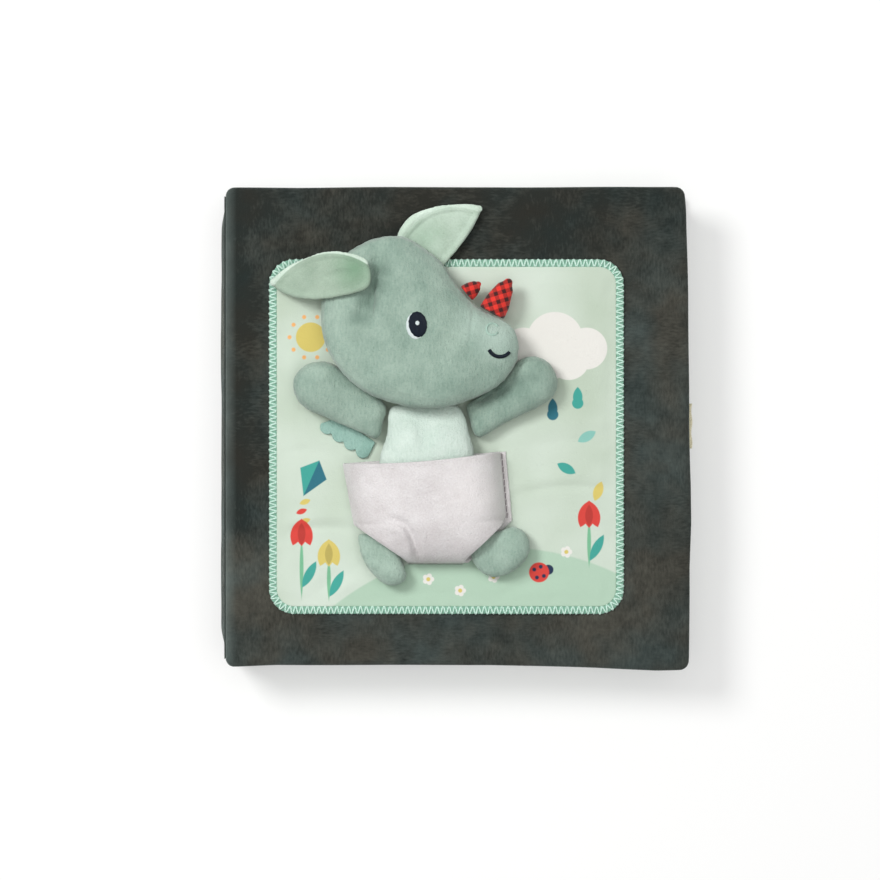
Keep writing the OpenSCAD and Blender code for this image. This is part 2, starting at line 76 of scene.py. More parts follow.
class Flow:
    """An output in a material. Arithmetic on it adds Math nodes."""

    def __init__(self, finish, socket):
        self.finish = finish
        self.socket = socket

    def math(self, operation, *values):
        inputs = {i: v for i, v in enumerate(values)}
        return self.finish.node("Math", inputs, operation=operation)

    def __add__(self, other):
        return self.math("ADD", self, other)

    def __radd__(self, other):
        return self.math("ADD", other, self)

    def __sub__(self, other):
        return self.math("SUBTRACT", self, other)

    def __rsub__(self, other):
        return self.math("SUBTRACT", other, self)

    def __mul__(self, other):
        return self.math("MULTIPLY", self, other)

    def __rmul__(self, other):
        return self.math("MULTIPLY", other, self)

    def __truediv__(self, other):
        return self.math("DIVIDE", self, other)

    def lower(self, other):
        return self.math("MINIMUM", self, other)

    def higher(self, other):
        return self.math("MAXIMUM", self, other)

    def size(self):
        return self.math("ABSOLUTE", self)

    def sine(self):
        return self.math("SINE", self)

    def clamped(self):
        return self.lower(1).higher(0)

    def between(self, low, high):
        """0 below low, 1 above high and straight between them."""
        return ((self - low) / (high - low)).clamped()


class Finish:
    """A material under construction, with its coordinates in millimetres from the book's middle."""

    def __init__(self, name, roughness=0.9, sheen=0.0, sheen_roughness=0.5, sheen_tint=(1, 1, 1)):
        self.material = bpy.data.materials.new(name)
        self.material.use_nodes = True
        self.tree = self.material.node_tree
        self.shader = self.tree.nodes["Principled BSDF"]
        self.shader.inputs["Roughness"].default_value = roughness
        self.shader.inputs["Specular IOR Level"].default_value = 0.25
        self.shader.inputs["Sheen Weight"].default_value = sheen
        self.shader.inputs["Sheen Roughness"].default_value = sheen_roughness
        self.shader.inputs["Sheen Tint"].default_value = (*sheen_tint, 1)
        self.place = self.node("TexCoord", out="Object")
        self.place = self.node("VectorMath", {0: self.place, 3: 1 / MM}, operation="SCALE")

    def node(self, kind, inputs=None, out=0, **settings):
        made = self.tree.nodes.new("ShaderNode" + kind)
        for key, value in settings.items():
            setattr(made, key, value)
        for key, value in (inputs or {}).items():
            if isinstance(value, Flow):
                self.tree.links.new(value.socket, made.inputs[key])
            else:
                made.inputs[key].default_value = value
        return Flow(self, made.outputs[out])

    def mix(self, share, first, second):
        first, second = (v if isinstance(v, Flow) else (*v, 1) for v in (first, second))
        return self.node("Mix", {0: share, 6: first, 7: second}, out=2, data_type="RGBA")

    def xyz(self):
        parts = self.node("SeparateXYZ", {0: self.place}).socket.node
        return [Flow(self, parts.outputs[i]) for i in range(3)]

    def noise(self, size_mm, detail=2.0, stretch=(1, 1, 1), shift=0.0):
        inputs = {0: self.place, 1: stretch, 2: (shift, shift, shift)}
        where = self.node("VectorMath", inputs, operation="MULTIPLY_ADD")
        return self.node("TexNoise", {"Vector": where, "Scale": 1 / size_mm, "Detail": detail})

    def colour(self, value):
        if isinstance(value, Flow):
            self.tree.links.new(value.socket, self.shader.inputs["Base Color"])
        else:
            self.shader.inputs["Base Color"].default_value = (*value, 1)

    def bump(self, height_mm):
        bump = self.node("Bump", {"Height": height_mm, "Distance": MM})
        self.tree.links.new(bump.socket, self.shader.inputs["Normal"])


def srgb(r, g, b):
    """Linear colour from the 0 to 255 values that a picture shows."""
    return tuple(((c / 255 + 0.055) / 1.055) ** 2.4 for c in (r, g, b))


def linked(name, mesh):
    made = bpy.data.objects.new(name, mesh)
    bpy.context.scene.collection.objects.link(made)
    return made


# To the camera the table glows a little and the sky beyond it is white. A soft window, a pale
# ceiling and a faint sky light the book.
TABLE_HALF = 3.0
GLOW_STRENGTH, GLOW_SHARE = 1.08, 0.36
SKY_STRENGTH = 0.33
LAMPS = (
    # name, width in metres, energy and place
    ("window", 0.6, 18, (-0.84, 0.6, 1.45)),
    ("ceiling", 1.6, 11.5, (0.1, 0.05, 1.6)),
)


def table_top():
    mesh = bpy.data.meshes.new("table_top")
    side = TABLE_HALF
    corners = [(-side, -side, 0), (side, -side, 0), (side, side, 0), (-side, side, 0)]
    mesh.from_pydata(corners, [], [(0, 1, 2, 3)])
    table = linked("table_top", mesh)
    paint = Finish("table_white", roughness=0.9)
    paint.colour((0.9, 0.9, 0.89))
    seen = paint.node("LightPath", out="Is Camera Ray")
    glow = paint.node("Emission", {"Color": (1, 1, 1, 1), "Strength": GLOW_STRENGTH})
    surface = Flow(paint, paint.shader.outputs[0])
    both = paint.node("MixShader", {0: seen * GLOW_SHARE, 1: surface, 2: glow})
    output = paint.tree.nodes["Material Output"]
    paint.tree.links.new(both.socket, output.inputs["Surface"])
    table.data.materials.append(paint.material)


def daylight():
    world = bpy.data.worlds.new("daylight")
    bpy.context.scene.world = world
    world.use_nodes = True
    nodes, links = world.node_tree.nodes, world.node_tree.links
    seen = nodes.new("ShaderNodeLightPath")
    sky = nodes["Background"]
    sky.inputs["Color"].default_value = (1, 1, 1, 1)
    sky.inputs["Strength"].default_value = SKY_STRENGTH
    white = nodes.new("ShaderNodeBackground")
    white.inputs["Color"].default_value = (1, 1, 1, 1)
    pick = nodes.new("ShaderNodeMixShader")
    links.new(seen.outputs["Is Camera Ray"], pick.inputs[0])
    links.new(sky.outputs[0], pick.inputs[1])
    links.new(white.outputs[0], pick.inputs[2])
    links.new(pick.outputs[0], nodes["World Output"].inputs["Surface"])
    for name, wide, energy, place in LAMPS:
        light = bpy.data.lights.new(name, "AREA")
        light.shape = "DISK"
        light.size = wide
        light.energy = energy
        lamp = linked(name, light)
        lamp.location = place
        lamp.rotation_euler = (-Vector(place)).to_track_quat("-Z", "Y").to_euler()


table_top()
daylight()


# Four stuffed cloth leaves, each two printed sides sewn face to face, turned and filled. Their
# edges are round with the seam along the middle, and they are sewn together in the gutter.
pages_low, pages_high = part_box("pages")
LEAF_COUNT = 4
LEAF_THICK = 5.6 * MM
LEAF_CORNER = 5 * MM
GUTTER = 7 * MM


def smooth_step(value, start, end):
    t = np.clip((value - start) / (end - start), 0, 1)
    return t * t * (3 - 2 * t)


def lumps(points, size_mm, seed):
    """Smooth noise from about -1 to 1 at each point, its swells size_mm across."""
    scale = 1 / (size_mm * MM)
    shift = Vector((seed * 17.3, seed * 5.1, seed * 9.7))
    return np.array([noise.noise(Vector(p) * scale + shift) for p in points]) * 1.6


def flat_places(x, y):
    return np.stack([x, y, 0 * x], axis=1)


def edge_lines(half, rim, step):
    """Grid lines from -half to half, close together along a round edge rim wide."""
    curve = [rim * (1 - math.cos(math.radians(a))) for a in (0, 14, 30, 48, 68, 90)]
    count = max(2, round(2 * (half - rim) / step))
    middle = np.linspace(-half + rim, half - rim, count + 1)[1:-1]
    low = np.array(curve) - half
    return np.concatenate([low, middle, -low[::-1]])


def inside_rounded(x, y, half_x, half_y, radius):
    """Distance to a rounded rectangle's edge, positive inside it."""
    dx, dy = np.abs(x) - (half_x - radius), np.abs(y) - (half_y - radius)
    outside = np.hypot(np.maximum(dx, 0), np.maximum(dy, 0))
    return radius - outside - np.minimum(np.maximum(dx, dy), 0)


def two_sided(upper, lower, rows, across):
    """Points and faces of a closed shell from two grids that share their border points."""
    place = np.arange(rows * across).reshape(rows, across)
    border = np.ones_like(place, dtype=bool)
    border[1:-1, 1:-1] = False
    below = place.copy()
    below[~border] = rows * across + np.arange((~border).sum())
    points = np.concatenate([upper, lower[~border.ravel()]])
    a, b, c, d = place[:-1, :-1], place[:-1, 1:], place[1:, 1:], place[1:, :-1]
    faces = np.stack([a, b, c, d], axis=-1).reshape(-1, 4).tolist()
    a, b, c, d = below[:-1, :-1], below[:-1, 1:], below[1:, 1:], below[1:, :-1]
    faces += np.stack([a, d, c, b], axis=-1).reshape(-1, 4).tolist()
    return points, faces


def slab(low, high, corner, step, rise=None, seam=0.0, sway=0.0, seed=0, drawn=None):
    """Points and faces of a padded slab. rise(x, y, edge) gives what to add to the height of the
    top and of the underside, from places and the distance to the edge in metres. seam is the depth
    of the groove where both sides are sewn together, sway how far the outline strays at the sides
    that aren't bound, and drawn(x, y) what is added to the outline's place."""
    middle, half = (low + high) / 2, (high - low) / 2
    rim = half.z
    columns, rows = edge_lines(half.x, rim, step), edge_lines(half.y, rim, step)
    x, y = (a.ravel() for a in np.meshgrid(columns, rows))
    core_x, core_y = half.x - corner, half.y - corner
    dx, dy = np.abs(x) - core_x, np.abs(y) - core_y
    rounded = (dx > 0) & (dy > 0)
    shrink = np.where(rounded, np.maximum(dx, dy) / np.where(rounded, np.hypot(dx, dy), 1), 1)
    x = np.where(rounded, np.sign(x) * (core_x + dx * shrink), x)
    y = np.where(rounded, np.sign(y) * (core_y + dy * shrink), y)
    edge = np.maximum(inside_rounded(x, y, half.x, half.y, corner), 0)
    bulge = rim * np.sqrt(1 - (1 - np.clip(edge / rim, 0, 1)) ** 2)
    top, under = rise(x, y, edge) if rise else (0 * x, 0 * x)
    pull = seam * np.exp(-((edge / (0.12 * rim)) ** 2))
    beside_x, beside_y = np.abs(x) > core_x, np.abs(y) > core_y
    moved_x, moved_y = -pull * np.sign(x) * beside_x, -pull * np.sign(y) * beside_y
    if sway:
        flat = flat_places(x, y)
        near = (1 - smooth_step(edge, 0, 40 * MM)) * smooth_step(x, -half.x, -half.x * 0.6)
        moved_x = moved_x + lumps(flat, 52, seed + 1) * sway * near * smooth_step(np.abs(x), 0, half.x)
        moved_y = moved_y + lumps(flat, 52, seed + 2) * sway * near * smooth_step(np.abs(y), 0, half.y)
    if drawn:
        further_x, further_y = drawn(x, y)
        moved_x, moved_y = moved_x + further_x, moved_y + further_y
    x, y = x + moved_x, y + moved_y
    place = np.array(middle)
    border = edge < 1e-7
    upper = np.stack([x, y, np.where(border, 0, bulge + top)], axis=1) + place
    lower = np.stack([x, y, np.where(border, 0, -bulge + under)], axis=1) + place
    return two_sided(upper, lower, len(rows), len(columns))


def built(name, shells):
    """One smooth object from a list of shells, each a pair of points and faces."""
    points, faces = [], []
    for shell_points, shell_faces in shells:
        shift = len(points)
        points += [tuple(p) for p in shell_points]
        faces += [[shift + i for i in face] for face in shell_faces]
    mesh = bpy.data.meshes.new(name)
    mesh.from_pydata(points, [], faces)
    mesh.polygons.foreach_set("use_smooth", [True] * len(mesh.polygons))
    return linked(name, mesh)


def dress(piece, body, finish):
    piece.data.materials.clear()
    piece.data.materials.append(finish.material)
    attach(piece, body)
    return piece


def top_stitch(finish, low, high, inset_mm):
    """1 on a row of short stitches inside a rectangle's edge, 0 elsewhere."""
    x, y = finish.xyz()[:2]
    x, y = x - (low.x + high.x) / 2 / MM, y - (low.y + high.y) / 2 / MM
    from_side = (high.x - low.x) / 2 / MM - x.size()
    from_end = (high.y - low.y) / 2 / MM - y.size()
    at_end = (from_side - from_end).between(-0.01, 0.01)
    dash_x, dash_y = ((w * (2 * math.pi / 3)).sine().between(-0.35, -0.1) for w in (x, y))
    line = 1 - (from_side.lower(from_end) - inset_mm).size().between(0.16, 0.34)
    return line * (dash_x * at_end + dash_y * (1 - at_end))


def leaf_puff(seed):
    """The filling stands up between the seams, and the gutter is sewn flat."""

    def rise(x, y, edge):
        soft = smooth_step(edge, 0, 9 * MM)
        swell = 0.14 * MM * lumps(flat_places(x, y), 22, seed) * soft
        left = x + (pages_high.x - pages_low.x) / 2
        sewn = -0.9 * MM * np.exp(-(((left - GUTTER) / (2.2 * MM)) ** 2)) * soft
        return swell + sewn - 0.15 * MM * soft, swell - sewn + 0.15 * MM * soft

    return rise


page_cloth = Finish("page_cloth", roughness=0.8, sheen=0.15)
page_z = page_cloth.xyz()[2]
LEAF_TONES = [srgb(176, 198, 180), srgb(206, 214, 196), srgb(158, 192, 184), srgb(196, 208, 186)]
leaf_pitch = (pages_high.z - pages_low.z) / LEAF_COUNT / MM
page_tone = page_cloth.mix(page_cloth.noise(30), LEAF_TONES[0], srgb(186, 206, 188))
for number in range(1, LEAF_COUNT):
    level = pages_low.z / MM + number * leaf_pitch
    page_tone = page_cloth.mix(page_z.between(level, level + 0.05), page_tone, LEAF_TONES[number])
page_stitch = top_stitch(page_cloth, pages_low, pages_high, 5.5)
page_cloth.colour(page_cloth.mix(page_stitch, page_tone, srgb(112, 158, 138)))
page_cloth.bump(page_cloth.noise(0.55) * 0.1 + page_cloth.noise(7) * 0.3 + page_stitch * 0.25)

leaf_shells = []
for number in range(LEAF_COUNT):
    lift = (pages_high.z - pages_low.z - LEAF_THICK) / (LEAF_COUNT - 1) * number
    low = Vector((pages_low.x, pages_low.y, pages_low.z + lift))
    high = Vector((pages_high.x, pages_high.y, pages_low.z + lift + LEAF_THICK))
    puff = leaf_puff(number)
    leaf = slab(low, high, LEAF_CORNER, 3.2 * MM, puff, seam=0.5 * MM, sway=0.8 * MM, seed=number)
    leaf_shells.append(leaf)
pages = built("pages_cloth", leaf_shells)
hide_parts("pages")
dress(pages, "page_block", page_cloth)


# A pale yellow ribbon, folded double and caught in the edge seam of the third leaf, stands out
# past the covers for a small hand to pull.
tab_low, tab_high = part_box("page_tab")
RIBBON_THICK = 0.55 * MM


def ribbon_loop():
    """The folded ribbon's section, swept along the page edge with a slight wave."""
    half, middle_z = (tab_high.z - tab_low.z) / 2, (tab_high.z + tab_low.z) / 2
    turn = half - RIBBON_THICK / 2
    nose = tab_high.x - half
    path = [Vector((tab_low.x, middle_z - turn))]
    for degrees in range(-90, 91, 15):
        angle = math.radians(degrees)
        path.append(Vector((nose + turn * math.cos(angle), middle_z + turn * math.sin(angle))))
    path.append(Vector((tab_low.x, middle_z + turn)))
    outer, inner = [], []
    for i, spot in enumerate(path):
        along = (path[min(i + 1, len(path) - 1)] - path[max(i - 1, 0)]).normalized()
        away = Vector((along.y, -along.x)) * RIBBON_THICK / 2
        outer.append(spot + away)
        inner.append(spot - away)
    outline = outer + inner[::-1]
    steps, ring = 24, len(outline)
    points, faces = [], []
    for k in range(steps + 1):
        y = tab_low.y + (tab_high.y - tab_low.y) * k / steps
        wave = 0.25 * MM * math.sin(k * 0.55)
        points += [(p.x + wave * (p.x > tab_low.x + MM), y, p.y) for p in outline]
    for k in range(steps):
        for i in range(ring):
            j = (i + 1) % ring
            faces.append((k * ring + i, k * ring + j, (k + 1) * ring + j, (k + 1) * ring + i))
    for start, order in ((0, 1), (steps * ring, -1)):
        strip = [(i, i + 1, ring - 2 - i, ring - 1 - i) for i in range(ring // 2 - 1)]
        faces += [[start + i for i in quad][::order] for quad in strip]
    return points, faces


ribbon = Finish("ribbon", roughness=0.6, sheen=0.2)
ribbon_y = ribbon.xyz()[1]
rib = (ribbon_y * (2 * math.pi / 0.8)).sine()
selvedge = (ribbon_y - (tab_low.y + tab_high.y) / 2 / MM).size().between(8.6, 9.0)
rib_tone = ribbon.mix(rib * 0.5 + 0.5, srgb(240, 230, 194), srgb(250, 243, 214))
ribbon.colour(ribbon.mix(selvedge, rib_tone, srgb(244, 236, 200)))
ribbon.bump(rib * 0.06 + selvedge * 0.1)
tab = built("page_tab_ribbon", [ribbon_loop()])
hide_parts("page_tab")
dress(tab, "page_block", ribbon)


# Both covers are foam boards dressed in one dark green-grey velour, sewn all round their edge.
# Its short pile lies in patches and streaks that catch the light, most of all along the edges.
COVER_CORNER = 4.5 * MM
velour = Finish("velour", roughness=0.95, sheen=0.3, sheen_roughness=0.4, sheen_tint=(0.72, 0.85, 0.8))
patches = velour.noise(15, detail=4)
cloudy = velour.noise(60, detail=2, shift=40)
up_streaks = velour.noise(0.9, detail=3, stretch=(1, 0.35, 0.5))
side_streaks = velour.noise(0.9, detail=3, stretch=(0.35, 1, 0.5), shift=9)
lay = velour.noise(34, detail=1, shift=80).between(0.42, 0.58)
streaks = up_streaks * lay + side_streaks * (1 - lay)
brushed = velour.noise(5, detail=4, shift=60)
velour_x, velour_y, velour_z = velour.xyz()
# Darker towards the left, and painted shade along the top, both only on the front cover's upper side.
darker_left = (1 - velour_x.between(-95, -80)) * velour_y.between(-56, -44)
painted_shade_top = velour_y.between(52, 86) * 0.72
darker_left_and_shade_top = darker_left.higher(painted_shade_top) * velour_z.between(30, 31)
pile = patches.between(0.3, 0.7) * 0.35 + cloudy.between(0.35, 0.65) * 0.3
pile = pile + brushed.between(0.3, 0.7) * 0.3 + (streaks - 0.5) * 1.1 - darker_left_and_shade_top * 0.6
warmth = velour.noise(24, detail=2, shift=120).between(0.35, 0.65)
deep_tone = velour.mix(warmth, srgb(33, 41, 39), srgb(40, 40, 35))
light_tone = velour.mix(warmth, srgb(72, 81, 78), srgb(80, 79, 71))
velour_tone = velour.mix((pile + 0.05).clamped(), deep_tone, light_tone)
upper_side = velour_z.between(31, 33)
# Painted sheen: the upper side is lighter along its left edge.
painted_sheen_rim = (1 - velour_x.between(-103.6, -98)) * (0.2 + patches * 0.9) * upper_side
velour.colour(velour.mix((painted_sheen_rim * 0.7).clamped(), velour_tone, srgb(116, 128, 124)))
velour.bump(velour.noise(0.5) * 0.3 + streaks * 0.4 + brushed * 0.6 + patches * 0.8)


def cover_puff(seed):
    def rise(x, y, edge):
        flat = flat_places(x, y)
        soft = smooth_step(edge, 0, 6 * MM)
        swell = 0.5 * MM * lumps(flat, 46, seed) + 0.2 * MM * lumps(flat, 14, seed + 3)
        return (swell - 0.3 * MM) * soft, -swell * 0.3 * soft

    return rise


# Handling has drawn the front cover out of square: the place along the foot or the open side, and
# how far the edge is moved there, in mm from the cover's middle.
FOOT_DRAWN = ((-100, 0.3), (-80, 1.2), (15, 1.2), (60, 0), (88, -1.1), (102, -0.7))
SIDE_DRAWN = (
    (-106, 0.6), (-62, 0.9), (-42, 1.8), (-25, 1.6), (0, 0.6), (60, 0.2), (95, -0.5), (106, -1.5),
)


def drawn_edges(x, y):
    reach = 30 * MM
    half = (cover_high - cover_low) / 2
    foot, side = np.interp(x / MM, *zip(*FOOT_DRAWN)), np.interp(y / MM, *zip(*SIDE_DRAWN))
    near_foot = smooth_step(-y, half.y - reach, half.y)
    near_side = smooth_step(x, half.x - reach, half.x)
    return side * near_side * MM, foot * near_foot * MM


def velour_cover(node, seed, sway, drawn=None):
    low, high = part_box(node)
    puff = cover_puff(seed)
    shell = slab(low, high, COVER_CORNER, 2.4 * MM, puff, seam=0.7 * MM, sway=sway, seed=seed, drawn=drawn)
    piece = built(node + "_velour", [shell])
    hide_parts(node)
    dress(piece, node, velour)


velour_cover("front_cover", 3, 0.5 * MM, drawn_edges)
velour_cover("back_cover", 8, 1.3 * MM)


# The spine is a strip of the same velour over thin padding. The cloth runs on across both
# folds to the covers, held down by a row of stitches at each fold.
spine_low, spine_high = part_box("spine")
SPINE_BULGE = 2.4 * MM
BULGE_DROP = 2 * MM


def upright(low, high, corner, step, rise):
    """A slab that stands on its edge, its height along X."""
    low, high = (Vector((p.z, p.y, p.x)) for p in (low, high))
    points, faces = slab(low, high, corner, step, rise, seam=0.2 * MM)
    return points[:, (2, 1, 0)], [face[::-1] for face in faces]


def spine_bulge(height, y):
    """How far the padding stands out: height is from the spine's middle, and the bulge hangs a
    little below it, clear of the open front cover."""
    half_tall, half_long = (spine_high.z - spine_low.z) / 2, (spine_high.y - spine_low.y) / 2
    arch = np.clip(1 - ((height + BULGE_DROP) / (half_tall - 1.5 * MM)) ** 2, 0, 1) ** 2
    uneven = 1 + 0.12 * lumps(flat_places(0 * y, y), 40, 6)
    return SPINE_BULGE * arch * uneven * smooth_step(half_long - np.abs(y), 0, 16 * MM)


def spine_puff(x, y, edge):
    swell = 0.25 * MM * lumps(flat_places(x, y), 16, 12) * smooth_step(edge, 0, 4 * MM)
    return swell, swell - spine_bulge(x, y)


spine = built("spine_velour", [upright(spine_low, spine_high, 2.5 * MM, 1.6 * MM, spine_puff)])
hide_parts("spine")
dress(spine, "page_block", velour)
FOLD_THICK = 0.5 * MM
FOLD_REACH = 4.8 * MM
FOLD_DIP = 0.9 * MM
STRIP_LONG = spine_high.y - spine_low.y - 3 * MM
FOLDS = (
    # name, cover, height over the table, and whether the cover lies above or below
    ("back_fold", "back_cover", 8.15 * MM, -1),
    ("front_fold", "front_cover", 30.25 * MM, 1),
)


def fold_strip(fold_z, seed):
    """A band of velour along the spine, drawn in at the fold's height."""
    rows, across = 133, 17
    grid_y = np.linspace(-STRIP_LONG / 2, STRIP_LONG / 2, rows)
    grid_z = np.linspace(-FOLD_REACH, FOLD_REACH, across)
    y, z = (a.ravel() for a in np.meshgrid(grid_y, grid_z, indexing="ij"))
    dip = FOLD_DIP * np.exp(-((z / (1.3 * MM)) ** 2))
    taper = 1 - smooth_step(np.abs(z), FOLD_REACH * 0.6, FOLD_REACH)
    ends = 1 - smooth_step(np.abs(y), STRIP_LONG / 2 - 3 * MM, STRIP_LONG / 2)
    outer = spine_low.x - 0.1 * MM * taper * ends + dip
    outer -= 0.12 * MM * lumps(flat_places(y, z), 9, seed) * taper
    outer -= spine_bulge(z + fold_z - (spine_low.z + spine_high.z) / 2, y)
    inner = outer + FOLD_THICK * (0.3 + 0.7 * taper)
    upper = np.stack([outer, y, z + fold_z], axis=1)
    lower = np.stack([inner, y, z + fold_z], axis=1)
    border = (np.abs(z) > FOLD_REACH * 0.999) | (np.abs(y) > STRIP_LONG / 2 * 0.9999)
    upper[border] = (upper[border] + lower[border]) / 2
    return two_sided(upper, lower, rows, across)


for name, cover, fold_z, toward in FOLDS:
    strip = built(name + "_velour", [fold_strip(fold_z, toward)])
    strip.data.materials.append(velour.material)
    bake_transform(strip)


# Each cover is lined with plain mint cloth, turned under all round and top-stitched close to
# its edge onto the velour.
lining_cloth = Finish("lining_cloth", roughness=0.8, sheen=0.12)
lining_tone = lining_cloth.mix(lining_cloth.noise(34), srgb(178, 199, 182), srgb(192, 211, 195))
lining_low, lining_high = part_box("front_lining")
lining_stitch = top_stitch(lining_cloth, lining_low, lining_high, 2.2)
lining_cloth.colour(lining_cloth.mix(lining_stitch, lining_tone, srgb(112, 158, 138)))
lining_cloth.bump(lining_cloth.noise(0.55) * 0.1 + lining_cloth.noise(8) * 0.35 + lining_stitch * 0.25)


def stitched_down(seed):
    def rise(x, y, edge):
        soft = smooth_step(edge, 3 * MM, 10 * MM)
        sewn = -0.16 * MM * np.exp(-(((edge - 2.2 * MM) / (0.6 * MM)) ** 2))
        swell = 0.14 * MM * lumps(flat_places(x, y), 20, seed) * soft
        return sewn + swell, -sewn + swell

    return rise


for node, body, seed in (("front_lining", "front_cover", 14), ("back_lining", "back_cover", 17)):
    low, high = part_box(node)
    piece = built(node + "_cloth", [slab(low, high, COVER_CORNER, 2.4 * MM, stitched_down(seed))])
    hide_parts(node)
    dress(piece, body, lining_cloth)


# The panel is smooth printed cloth laid on the front cover, creased where it is sewn. Its
# print is a plain meadow: cloud, rain, sun and kite over a low hill with tulips and a ladybird.
print_low, print_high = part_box("cover_panel")
PANEL_MIDDLE = (print_low + print_high) / 2
PANEL_HALF = (print_high - print_low) / 2
PANEL_CORNER = 7.7 * MM
CREASES = [
    # middle x, middle y, turn in degrees, half length, half width and height, in mm
    (-56, -40, 3, 22, 2.0, -0.75),
    (-58, -35, 5, 24, 2.8, 0.55),
    (54, -22, 1, 24, 1.8, -0.6),
    (56, -17, 2, 26, 3.0, 0.45),
    (-52, -64, 44, 9, 3.4, -0.7),
    (-44, -66, 40, 10, 2.6, 0.4),
    (-12, -69, 3, 18, 2.4, -0.45),
    (32, -66, 22, 18, 2.6, -0.5),
    (-64, -6, 2, 13, 2.0, -0.45),
    (60, 6, -6, 18, 3.4, 0.35),
    (58, -2, -3, 20, 2.2, -0.35),
    (30, 68, -12, 14, 3.0, -0.35),
    (-62, 30, 80, 14, 2.6, -0.35),
]


def creased(x, y, edge):
    """Height of the panel's creases and of its rise inside the stitching."""
    height = np.zeros_like(x)
    for mid_x, mid_y, turn, length, width, rise in CREASES:
        c, s = math.cos(math.radians(turn)), math.sin(math.radians(turn))
        along = (x / MM - mid_x) * c + (y / MM - mid_y) * s
        off = (y / MM - mid_y) * c - (x / MM - mid_x) * s + along * along / (7 * length)
        height += rise * np.exp(-((along / length) ** 2) - (off / width) ** 2)
    inner = smooth_step(edge, 1.5 * MM, 8 * MM)
    flat = flat_places(x, y)
    puckers = 0.12 * lumps(flat, 4.5, 31) * np.exp(-((edge / (7 * MM)) ** 2))
    swell = 0.16 * lumps(flat, 24, 30)
    return ((height + swell + 0.35) * inner + puckers) * MM, 0 * x


class Print(Finish):
    """Printed cloth. Its shapes are distances in millimetres, negative inside the shape."""

    def at(self, x, y, turn=0.0):
        """The place in a shape's own frame, whose middle is x, y from the panel's middle."""
        flat = self.node("VectorMath", {0: self.place, 1: (1, 1, 0)}, operation="MULTIPLY")
        middle = (PANEL_MIDDLE.x / MM + x, PANEL_MIDDLE.y / MM + y, 0)
        inputs = {0: flat, 1: middle, 2: (0, 0, math.radians(turn))}
        return self.node("Mapping", inputs, vector_type="TEXTURE")

    def disc(self, where, x, y, radius):
        reach = self.node("VectorMath", {0: where, 1: (x, y, 0)}, out=1, operation="DISTANCE")
        return reach - radius

    def leaf(self, where, length, width):
        radius = (length * length + width * width) / (4 * width)
        upper = self.disc(where, 0, radius - width / 2, radius)
        return upper.higher(self.disc(where, 0, width / 2 - radius, radius))

    def beyond(self, where, x, y):
        """Distance past a line through the middle whose outward side is x, y."""
        length = math.hypot(x, y)
        across = (x / length, y / length, 0)
        return self.node("VectorMath", {0: where, 1: across}, out=1, operation="DOT_PRODUCT")

    def paint(self, ground, shape, colour, soft=0.2):
        return self.mix((0.5 - shape / (2 * soft)).clamped(), ground, colour)


TEAL, DEEP_TEAL, SEA = srgb(64, 158, 146), srgb(44, 108, 124), srgb(134, 190, 178)
LEAF_GREEN, MUSTARD, TULIP_RED = srgb(118, 180, 142), srgb(208, 190, 104), srgb(208, 66, 58)
NAVY, CLOUD, APRICOT = srgb(32, 48, 76), srgb(224, 222, 216), srgb(232, 172, 108)
edge_x, edge_y = PANEL_HALF.x / MM, PANEL_HALF.y / MM

cloth = Print("printed_cloth", roughness=0.75, sheen=0.15)
ground = cloth.mix(cloth.noise(42).between(0.3, 0.7), srgb(184, 198, 180), srgb(203, 215, 202))
hill = cloth.disc(cloth.at(24, -edge_y - 92), 0, 0, 118)
ground = cloth.paint(ground, hill, srgb(174, 200, 179), soft=0.4)

sky = cloth.at(edge_x - 27, edge_y - 36)
cloud = cloth.disc(sky, 0, 3.7, 12.4)
for x, y, radius in ((-13.8, 0, 9.2), (13.8, 0, 9.2), (-2.3, -4.6, 9.2), (6, -4.6, 9.2)):
    cloud = cloud.lower(cloth.disc(sky, x, y, radius))
ground = cloth.paint(ground, cloud, CLOUD)
for number, tone in enumerate((TEAL, DEEP_TEAL, TEAL)):
    drop_x, drop_y = edge_x - 39 + 11 * number, edge_y - 60 - 5 * (number % 2)
    tip = cloth.leaf(cloth.at(drop_x, drop_y + 2.6, turn=90), 9, 4.2)
    drop = cloth.disc(cloth.at(drop_x, drop_y), 0, 0, 2.5).lower(tip)
    ground = cloth.paint(ground, drop, tone)

sun = cloth.at(-edge_x + 15, edge_y - 31)
ground = cloth.paint(ground, cloth.disc(sun, 0, 0, 6.5), MUSTARD)
for number in range(10):
    angle = number * 2 * math.pi / 10
    ray = cloth.disc(sun, 9.3 * math.cos(angle), 9.3 * math.sin(angle), 0.9)
    ground = cloth.paint(ground, ray, APRICOT)

kite = cloth.at(-edge_x + 16, -edge_y + 58, turn=-24)
sail = cloth.beyond(kite, 6.5, 6.5) - 4.8
for x, y, offset in ((-6.5, 6.5, 4.8), (11, -6.5, 5.2), (-11, -6.5, 5.2)):
    sail = sail.higher(cloth.beyond(kite, x, y) - offset)
ground = cloth.paint(ground, sail, TEAL)
ground = cloth.paint(ground, sail.higher(cloth.beyond(kite, -1, 0)), DEEP_TEAL)
for number, tone in enumerate((MUSTARD, TULIP_RED, MUSTARD)):
    bow = cloth.at(-edge_x + 12.5 - 1.5 * (number % 2), -edge_y + 46 - 4.2 * number, turn=20)
    ground = cloth.paint(ground, cloth.leaf(bow, 5, 2.4), tone)

